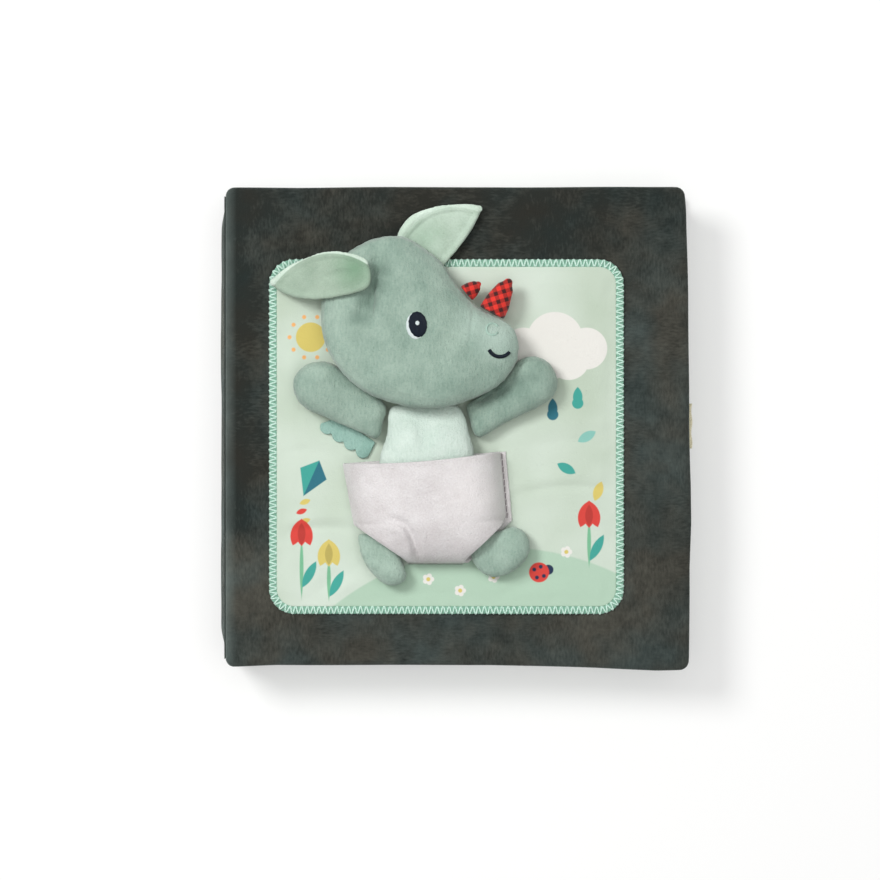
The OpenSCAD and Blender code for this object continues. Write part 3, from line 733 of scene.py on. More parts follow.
for x, y, stem, tone in (
    (-edge_x + 11, -edge_y + 29, 24, TULIP_RED),
    (-edge_x + 23, -edge_y + 20, 16, MUSTARD),
    (edge_x - 12, -edge_y + 37, 18, TULIP_RED),
):
    stalk = cloth.leaf(cloth.at(x, y - stem / 2, turn=90), stem + 3, 1.7)
    blade = cloth.leaf(cloth.at(x + 3.4, y - stem * 0.62, turn=62), 13, 4)
    ground = cloth.paint(ground, stalk, LEAF_GREEN)
    ground = cloth.paint(ground, blade, TEAL)
    for lean in (-18, 18, 0):
        cup = cloth.leaf(cloth.at(x - lean * 0.11, y + 3.6, turn=90 - lean), 12, 5.4)
        ground = cloth.paint(ground, cup, tone)
    heart = cloth.leaf(cloth.at(x, y + 3, turn=90), 9.5, 3.4)
    ground = cloth.paint(ground, heart, tuple(0.72 * c for c in tone))

beetle = cloth.at(edge_x - 34, -edge_y + 15, turn=16)
ground = cloth.paint(ground, cloth.disc(beetle, 4.3, 0, 2.2), NAVY)
ground = cloth.paint(ground, cloth.disc(beetle, 0, 0, 4.4), TULIP_RED)
for x, y in ((-1.7, 1.8), (1.4, 2.2), (-1.5, -1.9), (1.6, -2.1)):
    ground = cloth.paint(ground, cloth.disc(beetle, x, y, 0.85), NAVY)
for x, y in ((-8, 12), (6, 7), (edge_x - 54, 13), (edge_x - 22, 24)):
    daisy = cloth.at(x, -edge_y + y)
    for number in range(5):
        angle = number * 2 * math.pi / 5
        petal = cloth.disc(daisy, 1.5 * math.cos(angle), 1.5 * math.sin(angle), 1.1)
        ground = cloth.paint(ground, petal, CLOUD)
    ground = cloth.paint(ground, cloth.disc(daisy, 0, 0, 0.9), MUSTARD)
for x, y, turn, tone in (
    (edge_x - 13, 0, 30, SEA),
    (edge_x - 22, -14, -28, TEAL),
    (edge_x - 8, -24, 70, MUSTARD),
):
    ground = cloth.paint(ground, cloth.leaf(cloth.at(x, y, turn=turn), 9, 4.2), tone)
cloth.colour(ground)
cloth.bump(cloth.noise(0.55) * 0.1 + cloth.noise(5) * 0.2)

panel = built("cover_panel_print", [slab(print_low, print_high, PANEL_CORNER, 1.15 * MM, creased)])
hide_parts("cover_panel")
dress(panel, "front_cover", cloth)


# A mint binding covers the panel's edge, sewn down by one glossy thread that zigzags over its
# outer half. It is worked on the machine in about three millimetre steps.
band_low, band_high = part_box("panel_stitching")
BAND_CORNER = 11 * MM
BAND_WIDE = 3.7 * MM
BAND_TALL = 0.75 * MM
THREAD = 0.38 * MM
STITCH_STEP = 2.6 * MM
ZIG_IN, ZIG_OUT = 3.25 * MM, 0.1 * MM
BAND_SECTION = [
    (-1, 0), (-0.96, 0.55), (-0.7, 0.85), (-0.2, 1), (0.3, 0.95), (0.75, 0.8), (0.96, 0.5), (1, 0),
]


def round_trip(inset):
    """A function from a length, and the whole length, of the band's outline moved inwards."""
    middle, half = (band_low + band_high) / 2, (band_high - band_low) / 2
    middle = Vector((middle.x, middle.y))
    radius = BAND_CORNER - inset
    core_x, core_y = half.x - BAND_CORNER, half.y - BAND_CORNER
    sides = [2 * core_y, 2 * core_x, 2 * core_y, 2 * core_x]
    arc_long = radius * math.pi / 2
    starts = [sum(sides[:k]) + k * arc_long for k in range(4)]
    corners = ((core_x, core_y), (-core_x, core_y), (-core_x, -core_y), (core_x, -core_y))
    centres = [Vector(c) for c in corners]
    outs = [Vector(o) for o in ((1, 0), (0, 1), (-1, 0), (0, -1))]

    def point(length):
        k = max(i for i in range(4) if starts[i] <= length + 1e-9)
        out = outs[k]
        along = Vector((-out.y, out.x))
        past = length - starts[k]
        if past <= sides[k]:
            return middle + centres[k] + out * radius - along * (sides[k] - past), out
        angle = (past - sides[k]) / radius
        away = out * math.cos(angle) + along * math.sin(angle)
        return middle + centres[k] + away * radius, away

    return point, sum(sides) + 4 * arc_long


def binding():
    """The binding's flat, slightly domed section, swept along its outline."""
    point, length = round_trip(BAND_WIDE / 2)
    count, ring = 600, len(BAND_SECTION)
    points, faces = [], []
    for k in range(count):
        spot, out = point(length * k / count)
        pull = 1 + 0.1 * math.sin(2 * math.pi * length / STITCH_STEP * k / count)
        for across, rise in BAND_SECTION:
            place = spot + out * (across * BAND_WIDE / 2 * (pull if across > 0 else 1))
            points.append((place.x, place.y, band_low.z + rise * BAND_TALL))
        for i in range(ring):
            j, after = (i + 1) % ring, (k + 1) % count
            faces.append((k * ring + j, k * ring + i, after * ring + i, after * ring + j))
    return points, faces


def thread_tube(path, radius, closed=False, sides=6):
    """A round thread along a list of points."""
    path = [Vector(p) for p in path]
    points, faces = [], []
    count = len(path)
    for k in range(count):
        ahead = path[(k + 1) % count] if closed else path[min(k + 1, count - 1)]
        behind = path[k - 1] if closed else path[max(k - 1, 0)]
        along = (ahead - behind).normalized()
        side = along.cross(Vector((0, 0, 1)))
        side = side.normalized() if side.length > 1e-6 else Vector((1, 0, 0))
        up = side.cross(along)
        for i in range(sides):
            angle = 2 * math.pi * i / sides
            points.append(path[k] + (side * math.cos(angle) + up * math.sin(angle)) * radius)
    for k in range(count if closed else count - 1):
        after = (k + 1) % count
        for i in range(sides):
            j = (i + 1) % sides
            faces.append((k * sides + i, k * sides + j, after * sides + j, after * sides + i))
    if not closed:
        faces.append(tuple(reversed(range(sides))))
        faces.append(tuple((count - 1) * sides + i for i in range(sides)))
    return points, faces


def zigzag():
    """The sewing thread: it dives at each needle hole and lies in a low arch between."""
    point, length = round_trip((ZIG_IN + ZIG_OUT) / 2)
    holes = 2 * round(length / STITCH_STEP)
    rings = 6
    path = []
    for k in range(holes):
        for i in range(rings):
            t = i / rings
            spot, out = point(length * (k + t) / holes)
            uneven = 1 + 0.12 * math.sin(k * 2.4) * math.sin(k * 0.77)
            swing = (ZIG_IN - ZIG_OUT) / 2 * uneven * math.cos(math.pi * t) * (1 if k % 2 else -1)
            arch = math.sin(math.pi * t) ** 0.6
            place = spot + out * swing
            path.append((place.x, place.y, band_low.z + (0.6 + 0.42 * arch) * MM))
    return thread_tube(path, THREAD, closed=True)


stitching = Finish("stitching", roughness=0.45, sheen=0.25)
strand = stitching.noise(0.5, detail=2)
stitching.colour(stitching.mix(strand.between(0.35, 0.65), srgb(172, 212, 193), srgb(214, 240, 228)))
stitching.bump(strand * 0.12)
# The binding's darker tone is partly its own colour and partly painted shade between the zigzag's threads.
binding_cloth_and_shade = Finish("binding_cloth_and_shade", roughness=0.65, sheen=0.2)
binding_cloth_and_shade.colour(binding_cloth_and_shade.mix(binding_cloth_and_shade.noise(3), srgb(104, 152, 130), srgb(142, 184, 164)))
binding_cloth_and_shade.bump(binding_cloth_and_shade.noise(0.5) * 0.1)

edging = built("panel_zigzag_thread", [zigzag()])
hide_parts("panel_stitching")
dress(edging, "front_cover", stitching)
band = built("panel_binding", [binding()])
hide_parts("panel_stitching")
dress(band, "front_cover", binding_cloth_and_shade)


# The toy is a small plush rhinoceros of short pile, stuffed and sewn from flat cut pieces, so
# that every piece has a seam round its widest edge. This section dresses its body and limbs.
# Places on the toy are measured from its neck, and heights from the panel under it.
NECK = Vector((-15.1, 7.4)) * MM
TOY_LOW = 39.75 * MM


def soft_copy(name, node, voxel_mm, rounds):
    """A new evenly meshed object with the form of a CAD node, its edges softened."""
    work = bmesh.new()
    work.from_mesh(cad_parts[node].data)
    bmesh.ops.remove_doubles(work, verts=work.verts, dist=0.01 * MM)
    mesh = bpy.data.meshes.new(name)
    work.to_mesh(mesh)
    work.free()
    piece = linked(name, mesh)
    remesh = piece.modifiers.new("even", "REMESH")
    remesh.mode = "VOXEL"
    remesh.voxel_size = voxel_mm * MM
    smooth = piece.modifiers.new("soft", "SMOOTH")
    smooth.iterations = rounds
    graph = bpy.context.evaluated_depsgraph_get()
    made = bpy.data.meshes.new_from_object(piece.evaluated_get(graph))
    piece.modifiers.clear()
    piece.data = made
    bpy.data.meshes.remove(mesh)
    made.polygons.foreach_set("use_smooth", [True] * len(made.polygons))
    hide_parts(node)
    return piece


def points_of(piece):
    flat = np.zeros(len(piece.data.vertices) * 3)
    piece.data.vertices.foreach_get("co", flat)
    return flat.reshape(-1, 3)


def normals_of(piece):
    flat = np.zeros(len(piece.data.vertices) * 3)
    piece.data.vertices.foreach_get("normal", flat)
    return flat.reshape(-1, 3)


def push(piece, amount):
    """Move each point out along its normal."""
    points = points_of(piece) + normals_of(piece) * amount[:, None]
    piece.data.vertices.foreach_set("co", points.ravel())
    piece.data.update()


def from_seam(piece):
    """Each point's distance in plan to the seam round the piece's widest edge."""
    points, level = points_of(piece), np.abs(normals_of(piece)[:, 2])
    seam = points[level < 0.28]
    tree = KDTree(len(seam))
    for i, p in enumerate(seam):
        tree.insert((p[0], p[1], 0), i)
    tree.balance()
    return np.array([tree.find((p[0], p[1], 0))[2] for p in points])


def sewn_and_stuffed(piece, seed, seam_depth=0.45, pucker=0.16, swell=0.3):
    """Press a seam in round the widest edge, pucker the cloth beside it and swell the filling."""
    level = normals_of(piece)[:, 2]
    points, reach = points_of(piece), from_seam(piece)
    groove = -seam_depth * MM * np.exp(-((level / 0.16) ** 2))
    puckers = pucker * MM * lumps(points, 2.6, seed) * np.exp(-((reach / (2.4 * MM)) ** 2))
    filling = swell * MM * lumps(points, 12, seed + 50)
    push(piece, groove + puckers + filling)


def plush_finish(name, dark, light, shade, sheen=0.35):
    """Short pile: brushed rows, soft patches and a deeper tone where the pile parts."""
    made = Finish(name, roughness=0.95, sheen=sheen, sheen_roughness=0.45)
    rows = made.noise(0.9, detail=3, stretch=(1, 0.3, 0.5))
    mottle = made.noise(0.8, detail=3, shift=20)
    patch = made.noise(11, detail=4)
    tone = patch.between(0.3, 0.7) * 0.6 + (rows - 0.5) * 0.9 + (mottle - 0.5) * 0.5 + 0.2
    parted = (0.4 - mottle).between(0, 0.12) * 0.3
    made.colour(made.mix(parted, made.mix(tone.clamped(), dark, light), shade))
    made.bump(made.noise(0.5) * 0.25 + rows * 0.35 + mottle * 0.3)
    return made


def to_path(x, y, path):
    """From places to a path, both in mm: the distance, how far along the path it is met, from 0
    at its start to 1 at its end, and on which side."""
    nearest, share, side = np.full(len(x), 999.0), np.zeros(len(x)), np.ones(len(x))
    count = len(path) - 1
    for k in range(count):
        (ax, ay), (bx, by) = path[k], path[k + 1]
        step_x, step_y = bx - ax, by - ay
        t = np.clip(((x - ax) * step_x + (y - ay) * step_y) / (step_x**2 + step_y**2), 0, 1)
        away_x, away_y = x - ax - step_x * t, y - ay - step_y * t
        away = np.hypot(away_x, away_y)
        closer = away < nearest
        share = np.where(closer, (k + t) / count, share)
        side = np.where(closer, np.sign(step_x * away_y - step_y * away_x), side)
        nearest = np.where(closer, away, nearest)
    return nearest, share, side


def groove_along(piece, path_mm, depth, width):
    """Press a crease into the upper side along a path drawn from the toy's neck."""
    points, level = points_of(piece), normals_of(piece)[:, 2]
    nearest, share, _ = to_path((points[:, 0] - NECK.x) / MM, (points[:, 1] - NECK.y) / MM, path_mm)
    press = np.exp(-((nearest / width) ** 2)) * np.clip((1 - share) * 2.2, 0, 1)
    push(piece, -depth * MM * press * smooth_step(level, 0.1, 0.5))


def paint_light_and_shade(finish, places, tone):
    """Painted light and shade: another tone at places, x and y in mm from the neck, the radius in mm and
    the strength."""
    flat = finish.node("VectorMath", {0: finish.place, 1: (1, 1, 0)}, operation="MULTIPLY")
    share = 0
    for x, y, radius, strength in places:
        middle = (x + NECK.x / MM, y + NECK.y / MM, 0)
        away = finish.node("VectorMath", {0: flat, 1: middle}, out=1, operation="DISTANCE")
        share = ((1 - away.between(radius * 0.1, radius)) * strength).higher(share)
    base = finish.shader.inputs["Base Color"].links[0].from_socket
    finish.colour(finish.mix(share, Flow(finish, base), tone))


PLUSH_TONES = srgb(127, 151, 138), srgb(165, 186, 172), srgb(112, 138, 124)
ARM_SHADE = [
    # painted shade at places along the right arm's crease, in mm from the neck, with radius and strength
    (27, 7, 8, 0.5),
    (34, 9.5, 8, 0.6),
    (41, 12, 7, 0.5),
    (48, 14, 6, 0.35),
]
ARM_CREASE = [(24, 6), (34, 9.5), (43, 12.5), (51, 14.5)]
plush = plush_finish("plush", *PLUSH_TONES)
plush_leg = plush_finish("plush_leg", srgb(138, 162, 148), srgb(176, 197, 183), srgb(120, 146, 132))
plush_light = plush_finish("plush_light", srgb(191, 209, 198), srgb(217, 230, 221), srgb(174, 198, 185))
# The right arm's copy of the plush, with painted shade along its crease.
plush_arm_shaded = plush_finish("plush_arm_shaded", *PLUSH_TONES)
paint_light_and_shade(plush_arm_shaded, ARM_SHADE, srgb(98, 122, 111))
felt = plush_finish("felt", srgb(130, 167, 155), srgb(158, 192, 181), srgb(112, 150, 138), sheen=0.2)

LIMBS = {
    # voxel in mm, smoothing rounds
    "toy_body": (1.0, 18),
    "toy_arm_left": (0.85, 6),
    "toy_arm_right": (0.85, 6),
    "toy_leg_left": (0.85, 6),
    "toy_leg_right": (0.85, 6),
}
for number, (node, (voxel, rounds)) in enumerate(LIMBS.items()):
    finish = plush_light if node == "toy_body" else plush_leg if "leg" in node else plush
    piece = soft_copy(node + "_plush", node, voxel, rounds)
    sewn_and_stuffed(piece, number + 20)
    if node == "toy_arm_right":
        groove_along(piece, ARM_CREASE, 1.7, 3.2)
        finish = plush_arm_shaded
    dress(piece, "front_cover", finish)

tail = soft_copy("toy_tail_felt", "toy_tail", 0.4, 2)
push(tail, 0.12 * MM * lumps(points_of(tail), 3, 61))
dress(tail, "front_cover", felt)


# The nappy is brushed white fleece, a front and a back sewn at the sides and the crotch. Its
# right seam shows outside with a row of running stitch, and the front folds over at the crotch.
fleece = Finish("fleece", roughness=0.95, sheen=0.3)
fuzz = fleece.noise(0.8, detail=3)
fleece_patch = fleece.noise(11, detail=3)
fleece_tone = (fleece_patch.between(0.3, 0.7) * 0.6 + (fuzz - 0.5) * 1.2 + 0.2).clamped()
fleece.colour(fleece.mix(fleece_tone, srgb(203, 197, 197), srgb(227, 224, 224)))
# Painted light: the nappy front's right side is lighter.
paint_light_and_shade(fleece, [(26, -36, 24, 0.55)], srgb(243, 239, 238))
fleece.bump(fuzz * 0.4 + fleece.noise(0.35) * 0.2)
WAIST_HALF, HIP_HALF, CROTCH_HALF, HIP_AT = 33.4, 32.4, 10.8, 0.62
NAPPY_LONG, NAPPY_TALL, FLEECE_THICK = 46.4, 18.6, 1.2
FOLD_PATH = [
    (-19.0, -46.4), (-13.0, -47.2), (-8.4, -49.6), (-5.6, -54.0), (-3.8, -60.0), (-2.9, -66.0),
]


def nappy_half(v):
    """Half of the nappy's width in mm, v from 0 at the waist to 1 at the crotch."""
    shares = [np.clip(v + shift, 0, 1) for shift in (-0.05, 0, 0.05)]
    upper = [WAIST_HALF + (HIP_HALF - WAIST_HALF) * s / HIP_AT for s in shares]
    lower = [HIP_HALF + (CROTCH_HALF - HIP_HALF) * (s - HIP_AT) / (1 - HIP_AT) for s in shares]
    return sum(np.where(s < HIP_AT, a, b) for s, a, b in zip(shares, upper, lower)) / 3


def fold_height(x, y):
    """A soft pleat that runs down to the crotch: a hollow with a roll on its left, in mm."""
    nearest, share, side = to_path(x, y, FOLD_PATH)
    hollow = -1.8 * np.exp(-((nearest / 1.7) ** 2))
    roll = 1.3 * np.exp(-(((nearest - 3.4) / 2.3) ** 2)) * np.where(side < 0, 1, 0.3)
    return (hollow + roll) * smooth_step(share, 0, 0.45)


def nappy_shell():
    """The front's outer and inner sides, joined round a soft edge."""
    rows, across = 75, 111
    lines_v = (1 - np.cos(np.linspace(0, math.pi, rows))) / 2 * 0.35 + np.linspace(0, 1, rows) * 0.65
    lines_u = np.sin(np.linspace(-math.pi / 2, math.pi / 2, across)) * 0.45
    lines_u = lines_u + np.linspace(-1, 1, across) * 0.55
    v, u = (a.ravel() for a in np.meshgrid(lines_v, lines_u, indexing="ij"))
    half = nappy_half(v)
    tilt, dip = math.tan(math.radians(4.5)), 1.6 * (1 - u * u)
    fall = np.sqrt(1 - np.maximum(0, (v - 0.25) / 0.75) ** 3.6)
    share = np.abs(u) * half / np.where(v < HIP_AT, half, HIP_HALF)
    dome = NAPPY_TALL * fall * (1 - share**3.6) ** 0.68
    grids = []
    for thick, spread in ((FLEECE_THICK, 1 + FLEECE_THICK / HIP_HALF), (0, 1)):
        x = u * half * spread - 1.4 + 6.2 * v
        y = -20.5 - NAPPY_LONG * v + (1 - v) * (u * half * tilt - dip) - (v > 0.999) * thick
        z = dome + thick
        if thick:
            inner = smooth_step(1 - np.abs(u), 0, 0.12) * smooth_step(1 - v, 0, 0.03)
            flat = flat_places(x, y) * MM
            swell = 0.45 * lumps(flat, 13, 71) + 0.1 * lumps(flat, 3, 72)
            hem = 0.35 * np.exp(-((v / 0.035) ** 2)) + 0.4 * np.exp(-(((1 - v) / 0.03) ** 2))
            z = z + (fold_height(x, y) + swell + 0.3) * inner + hem
        height = z * MM + TOY_LOW + FLEECE_THICK * MM
        grids.append(np.stack([x * MM + NECK.x, y * MM + NECK.y, height], axis=1))
    upper, lower = grids
    border = (np.abs(u) > 0.999) | (v < 0.001) | (v > 0.999)
    upper[border] = (upper[border] + lower[border]) / 2
    return two_sided(upper, lower, rows, across)


nappy_back = soft_copy("nappy_back_fleece", "nappy_back", 0.5, 2)
push(nappy_back, 0.1 * MM * lumps(points_of(nappy_back), 4, 70))
dress(nappy_back, "front_cover", fleece)
low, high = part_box("nappy_back")

shell_points, shell_faces = nappy_shell()
nappy_front = built("nappy_front_fleece", [(shell_points, [face[::-1] for face in shell_faces])])
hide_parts("nappy_front")
dress(nappy_front, "front_cover", fleece)

seam_low, seam_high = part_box("nappy_stitching")
SEAM_STITCHES = 10
SEAM_INSET = 0.8 * MM
STITCH_HALF, STITCH_ARCH, STITCH_RADIUS = 1.15 * MM, 0.22 * MM, 0.22 * MM
seam_shells = []
for number in range(SEAM_STITCHES):
    share = (number + 0.5) / SEAM_STITCHES
    x = seam_low.x + 0.2 * MM + (seam_high.x - seam_low.x - 0.4 * MM) * share - SEAM_INSET
    y = seam_high.y - (seam_high.y - seam_low.y) * share
    path = []
    for s in (-1, -0.8, -0.4, 0, 0.4, 0.8, 1):
        z = seam_low.z + 0.12 * MM + STITCH_ARCH * math.cos(s * math.pi / 2)
        path.append((x, y + STITCH_HALF * s, z))
    seam_shells.append(thread_tube(path, STITCH_RADIUS))
seam_thread = Finish("seam_thread", roughness=0.6)
seam_thread.colour(seam_thread.mix(seam_thread.noise(0.6), srgb(140, 130, 134), srgb(172, 164, 166)))
seam = built("nappy_running_stitch", seam_shells)
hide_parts("nappy_stitching")
dress(seam, "front_cover", seam_thread)


# The head is cut from the same plush in two halves, with a dart below the left ear and a fine
# seam across the muzzle. Eye, nostril and mouth are embroidered in satin stitch.
HEAD_GROOVES = (
    # the dart's hollow, the dart's seam and the muzzle's seam: path from the neck, depth and width in mm
    ([(-20, 67), (-20.5, 58), (-24, 49), (-27.5, 41), (-29, 32)], 3.6, 4.2),
    ([(-20.5, 62), (-22.8, 52), (-23.4, 45), (-22.4, 36)], 2.2, 1.0),
    ([(21, 43), (20.4, 37), (19.3, 29), (19, 26)], 0.45, 0.6),
)
NOSE, NOSE_WIDE, NOSE_TALL = (32, 33), 8 * MM, 1.5 * MM
head = soft_copy("toy_head_plush", "toy_head", 0.9, 8)
head_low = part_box("toy_head")[0]
sewn_and_stuffed(head, 33, seam_depth=0.5, swell=0.45)
for path_mm, depth, width in HEAD_GROOVES:
    groove_along(head, path_mm, depth, width)
nose_x, nose_y = NOSE[0] * MM + NECK.x, NOSE[1] * MM + NECK.y
from_nose = np.hypot(points_of(head)[:, 0] - nose_x, points_of(head)[:, 1] - nose_y)
on_top = smooth_step(normals_of(head)[:, 2], 0.0, 0.5)
push(head, NOSE_TALL * np.exp(-((from_nose / NOSE_WIDE) ** 2)) * on_top)

HEAD_FOLD_SHADE = [
    # painted shade in the dart's fold: place in mm from the neck, radius in mm and strength
    (-18.5, 61, 7, 0.5),
    (-20.5, 54, 7, 0.6),
    (-25, 47, 8, 0.72),
    (-28, 40, 8, 0.6),
    (-29, 33, 8, 0.35),
]
# Painted light on the muzzle: place in mm from the neck, radius in mm and strength.
MUZZLE_PAINTED_LIGHT = [(*NOSE, 15, 0.75), (22, 38, 12, 0.45)]
plush_head_light_and_shade = plush_finish("plush_head_light_and_shade", *PLUSH_TONES)
paint_light_and_shade(plush_head_light_and_shade, HEAD_FOLD_SHADE, srgb(96, 120, 108))
paint_light_and_shade(plush_head_light_and_shade, MUZZLE_PAINTED_LIGHT, srgb(186, 207, 195))
dress(head, "front_cover", plush_head_light_and_shade)


def head_height(x, y):
    """Height of the dressed head's upper side over a place."""
    hit, spot, _, _ = head.ray_cast(Vector((x, y, 1)), Vector((0, 0, -1)))
    return spot.z if hit else head_low.z


eye_low, eye_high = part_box("toy_eye")
EYE = (eye_low + eye_high) / 2
reach = 3 * MM
HEAD_SLOPE = (
    (head_height(EYE.x + reach, EYE.y) - head_height(EYE.x - reach, EYE.y)) / (2 * reach),
    (head_height(EYE.x, EYE.y + reach) - head_height(EYE.x, EYE.y - reach)) / (2 * reach),
)
EYE_TURN = 0.12


def satin_patch(middle, half_x, half_y, tall):
    """A low dome of satin stitches, in mm, that follows the head's slope at the eye."""
    rings, around = 7, 44
    c, s = math.cos(EYE_TURN), math.sin(EYE_TURN)
    points = [(middle.x, middle.y, middle.z + tall * MM)]
    faces = []
    for r in range(1, rings + 2):
        share = min(r, rings) / rings
        drop = 0.6 * MM if r > rings else 0
        for k in range(around):
            angle = 2 * math.pi * k / around
            ridge = 1 + 0.018 * math.sin(14 * angle)
            along = half_x * MM * share * math.cos(angle) * ridge
            up = half_y * MM * share * math.sin(angle) * ridge
            x, y = along * c - up * s, along * s + up * c
            dome = tall * MM * math.sqrt(max(0, 1 - share**2.4))
            z = HEAD_SLOPE[0] * x + HEAD_SLOPE[1] * y + dome - drop
            points.append((middle.x + x, middle.y + y, middle.z + z))
    for k in range(around):
        j = (k + 1) % around
        faces.append((0, 1 + k, 1 + j))
        for r in range(rings):
            a, b = 1 + r * around, 1 + (r + 1) * around
            faces.append((a + k, b + k, b + j, a + j))
    last = 1 + rings * around
    points.append((middle.x, middle.y, middle.z - 0.6 * MM))
    faces += [(len(points) - 1, last + (k + 1) % around, last + k) for k in range(around)]
    return points, faces


def embroidery(name, dark, light):
    thread = Finish(name, roughness=0.5, sheen=0.1)
    thread.colour(thread.mix(thread.noise(0.5), dark, light))
    thread.bump(thread.noise(0.4) * 0.1)
    return thread


eye_at = Vector((EYE.x, EYE.y, head_height(EYE.x, EYE.y)))
eye_thread = Finish("eye_thread", roughness=0.5)
eye_x = eye_thread.xyz()[0]
satin = (eye_x * (2 * math.pi / 0.55)).sine()
eye_thread.colour(eye_thread.mix(satin * 0.5 + 0.5, srgb(4, 14, 26), srgb(14, 28, 46)))
eye_thread.bump(satin * 0.08)
white_thread = embroidery("white_thread", srgb(186, 200, 200), srgb(222, 230, 229))

pupil = built("toy_eye_satin", [satin_patch(eye_at + Vector((0, 0, 0.3)) * MM, 4.0, 5.6, 0.5)])
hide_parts("toy_eye")
dress(pupil, "front_cover", eye_thread)
whites = [
    satin_patch(eye_at + Vector((-0.8, -0.7, 0.1)) * MM, 4.2, 5.8, 0.35),
    satin_patch(eye_at + Vector((-0.1, 0.6, 0.75)) * MM, 0.9, 1.0, 0.25),
]
eye_white = built("toy_eye_white", whites)
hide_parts("toy_eye")
dress(eye_white, "front_cover", white_thread)


def on_head(points_mm, lift):
    places = [(x * MM + NECK.x, y * MM + NECK.y) for x, y in points_mm]
    return [(x, y, head_height(x, y) + lift * MM) for x, y in places]


def arc(middle, radius, start, end, count):
    angles = [math.radians(start + (end - start) * k / (count - 1)) for k in range(count)]
    return [(middle[0] + radius * math.cos(a), middle[1] + radius * math.sin(a)) for a in angles]


smile_line = on_head(arc((32.6, 28.4), 5.2, 205, 322, 16), 0.1)
smile = built("toy_mouth_satin", [thread_tube(smile_line, 0.85 * MM)])
dress(smile, "front_cover", eye_thread)
pale_thread = embroidery("pale_thread", srgb(150, 182, 168), srgb(178, 204, 190))
nostril_ring = on_head(arc((29.4, 35.2), 2.6, 30, 330, 22), 0.0)
nostril = built("toy_nostril_satin", [thread_tube(nostril_ring, 0.5 * MM)])
dress(nostril, "front_cover", pale_thread)


# The ears are two leaves of pale plush sewn and turned, their rims standing up round a hollow
# inside. The left one hangs over the head; the right one comes out from behind it.
EARS = {
    # seed, three places on the rim's arc, the rim's width, the hollow's depth, the root, near which the
    # hollow's painted shade is deepest, and how pale inside, which takes back part of that painted shade
    "toy_ear_left": (81, ((-67.4, 56.7), (-40.5, 70.2), (-25.3, 66.0)), 2.3, 1.0, (-30, 61.5), 0.0),
    "toy_ear_right": (85, ((-11.9, 77.3), (-0.9, 88.7), (24.8, 89.9)), 3.2, 1.3, (0, 76), 0.5),
}


def circle_through(places):
    """Middle and radius in mm, from the book's middle, of the circle through three places."""
    (ax, ay), (bx, by), (cx, cy) = ((x + NECK.x / MM, y + NECK.y / MM) for x, y in places)
    span = 2 * (ax * (by - cy) + bx * (cy - ay) + cx * (ay - by))
    a, b, c = ax * ax + ay * ay, bx * bx + by * by, cx * cx + cy * cy
    x = (a * (by - cy) + b * (cy - ay) + c * (ay - by)) / span
    y = (a * (cx - bx) + b * (ax - cx) + c * (bx - ax)) / span
    return (x, y), math.hypot(ax - x, ay - y)


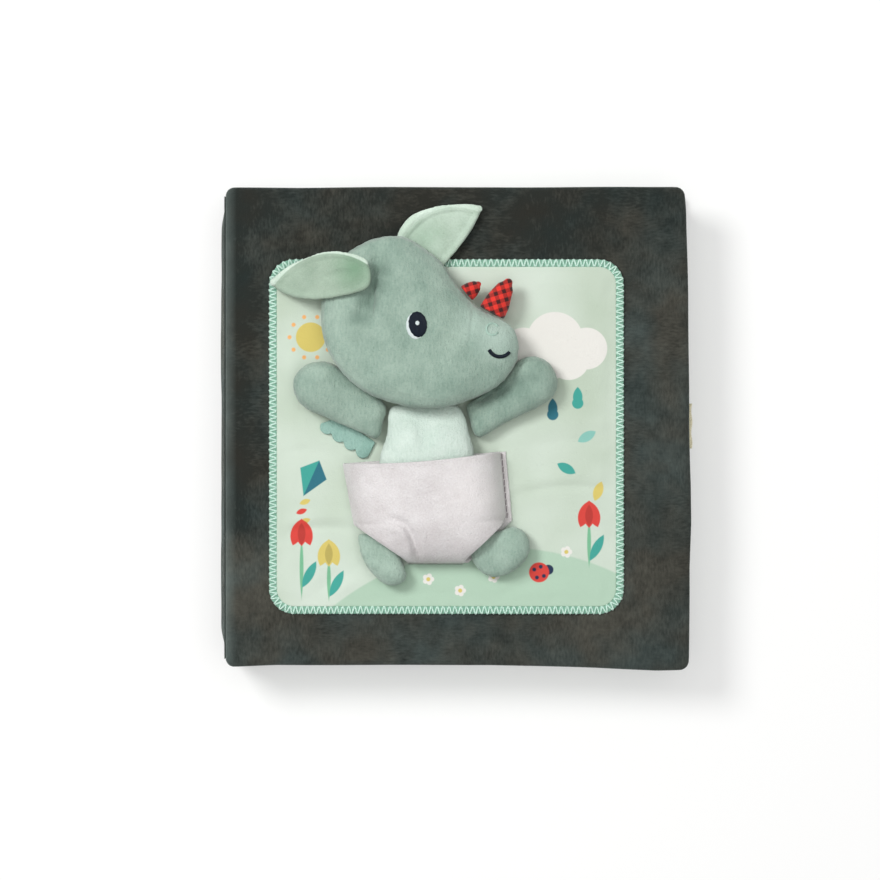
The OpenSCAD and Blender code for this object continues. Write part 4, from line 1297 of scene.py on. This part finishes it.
def ear_form(node, seed, rim_places, rim, hollow, root, light):
    middle, radius = circle_through(rim_places)
    piece = soft_copy(node + "_plush", node, 0.55, 4)
    points, level = points_of(piece), normals_of(piece)[:, 2]
    top = smooth_step(level, 0.05, 0.4)
    inside = radius - rim - np.hypot(points[:, 0] / MM - middle[0], points[:, 1] / MM - middle[1])
    other_rim = smooth_step(from_seam(piece), 0.8 * MM, 3.2 * MM)
    sink = -hollow * smooth_step(inside, 0, 2.2) * other_rim - 0.5 * np.exp(-((inside / 0.5) ** 2))
    raised = 0.45 * np.exp(-(((inside + rim / 2) / (rim / 2.5)) ** 2))
    push(piece, (sink + raised) * MM * top)
    points, level = points_of(piece), normals_of(piece)[:, 2]
    seam = -0.35 * MM * np.exp(-((level / 0.16) ** 2))
    push(piece, seam + 0.08 * MM * lumps(points, 2.4, seed) + 0.2 * MM * lumps(points, 9, seed + 1))
    cloth = Finish(node + "_plush", roughness=0.95, sheen=0.25, sheen_roughness=0.45)
    flat = cloth.node("VectorMath", {0: cloth.place, 1: (1, 1, 0)}, operation="MULTIPLY")
    away = cloth.node("VectorMath", {0: flat, 1: (*middle, 0)}, out=1, operation="DISTANCE")
    # Painted shade: the hollow is darker than the pale rim, most of all near the root; light mixes part of
    # it back towards the pale plush.
    hollow_share = (radius - rim - away).between(-0.25, 0.25)
    root_at = (root[0] + NECK.x / MM, root[1] + NECK.y / MM, 0)
    from_root = cloth.node("VectorMath", {0: flat, 1: root_at}, out=1, operation="DISTANCE")
    root_shade = (1 - from_root.between(1, 12)) * hollow_share
    fuzz = cloth.noise(0.8, detail=3)
    grain = cloth.noise(9, detail=3).between(0.3, 0.7) * 0.6 + (fuzz - 0.5) * 0.9 + 0.2
    pale = cloth.mix(grain.clamped(), srgb(186, 206, 188), srgb(216, 232, 219))
    inner = cloth.mix(grain.clamped(), srgb(143, 164, 145), srgb(168, 187, 169))
    inner = cloth.mix(root_shade * 0.75, inner, srgb(112, 150, 120))
    inner = cloth.mix(light, inner, pale)
    cloth.colour(cloth.mix(hollow_share, pale, inner))
    cloth.bump(cloth.noise(0.5) * 0.2 + fuzz * 0.3)
    dress(piece, "front_cover", cloth)


for node, made_to in EARS.items():
    ear_form(node, *made_to)


# The horns are small stuffed cones of woven red and black check, sewn into the head's seam.
CHECK_TURN, CHECK_MM = 0.3, 3.7
horn_check = Finish("horn_check", roughness=0.8, sheen=0.15)
check_x, check_y = horn_check.xyz()[:2]
across = check_x * math.cos(CHECK_TURN) + check_y * math.sin(CHECK_TURN)
along = check_y * math.cos(CHECK_TURN) - check_x * math.sin(CHECK_TURN)
warp, weft = (((way * (2 * math.pi / CHECK_MM)).sine() * 2.2 + 0.7).clamped() for way in (across, along))
twill = ((across + along) * (2 * math.pi / 0.7)).sine() * 0.5 + 0.5
half_tone = (warp - weft).size() * (0.35 + twill * 0.3)
woven = ((warp + weft) * 0.5 - 0.5).higher(0) * 2 + half_tone
horn_check.colour(horn_check.mix(woven.clamped(), srgb(66, 26, 26), srgb(226, 54, 44)))
horn_check.bump(horn_check.noise(0.5) * 0.15 + twill * 0.06)
for node, voxel in (("toy_horn", 0.55), ("toy_small_horn", 0.45)):
    horn = soft_copy(node + "_cloth", node, voxel, 4)
    push(horn, 0.18 * MM * lumps(points_of(horn), 5, 91))
    dress(horn, "front_cover", horn_check)
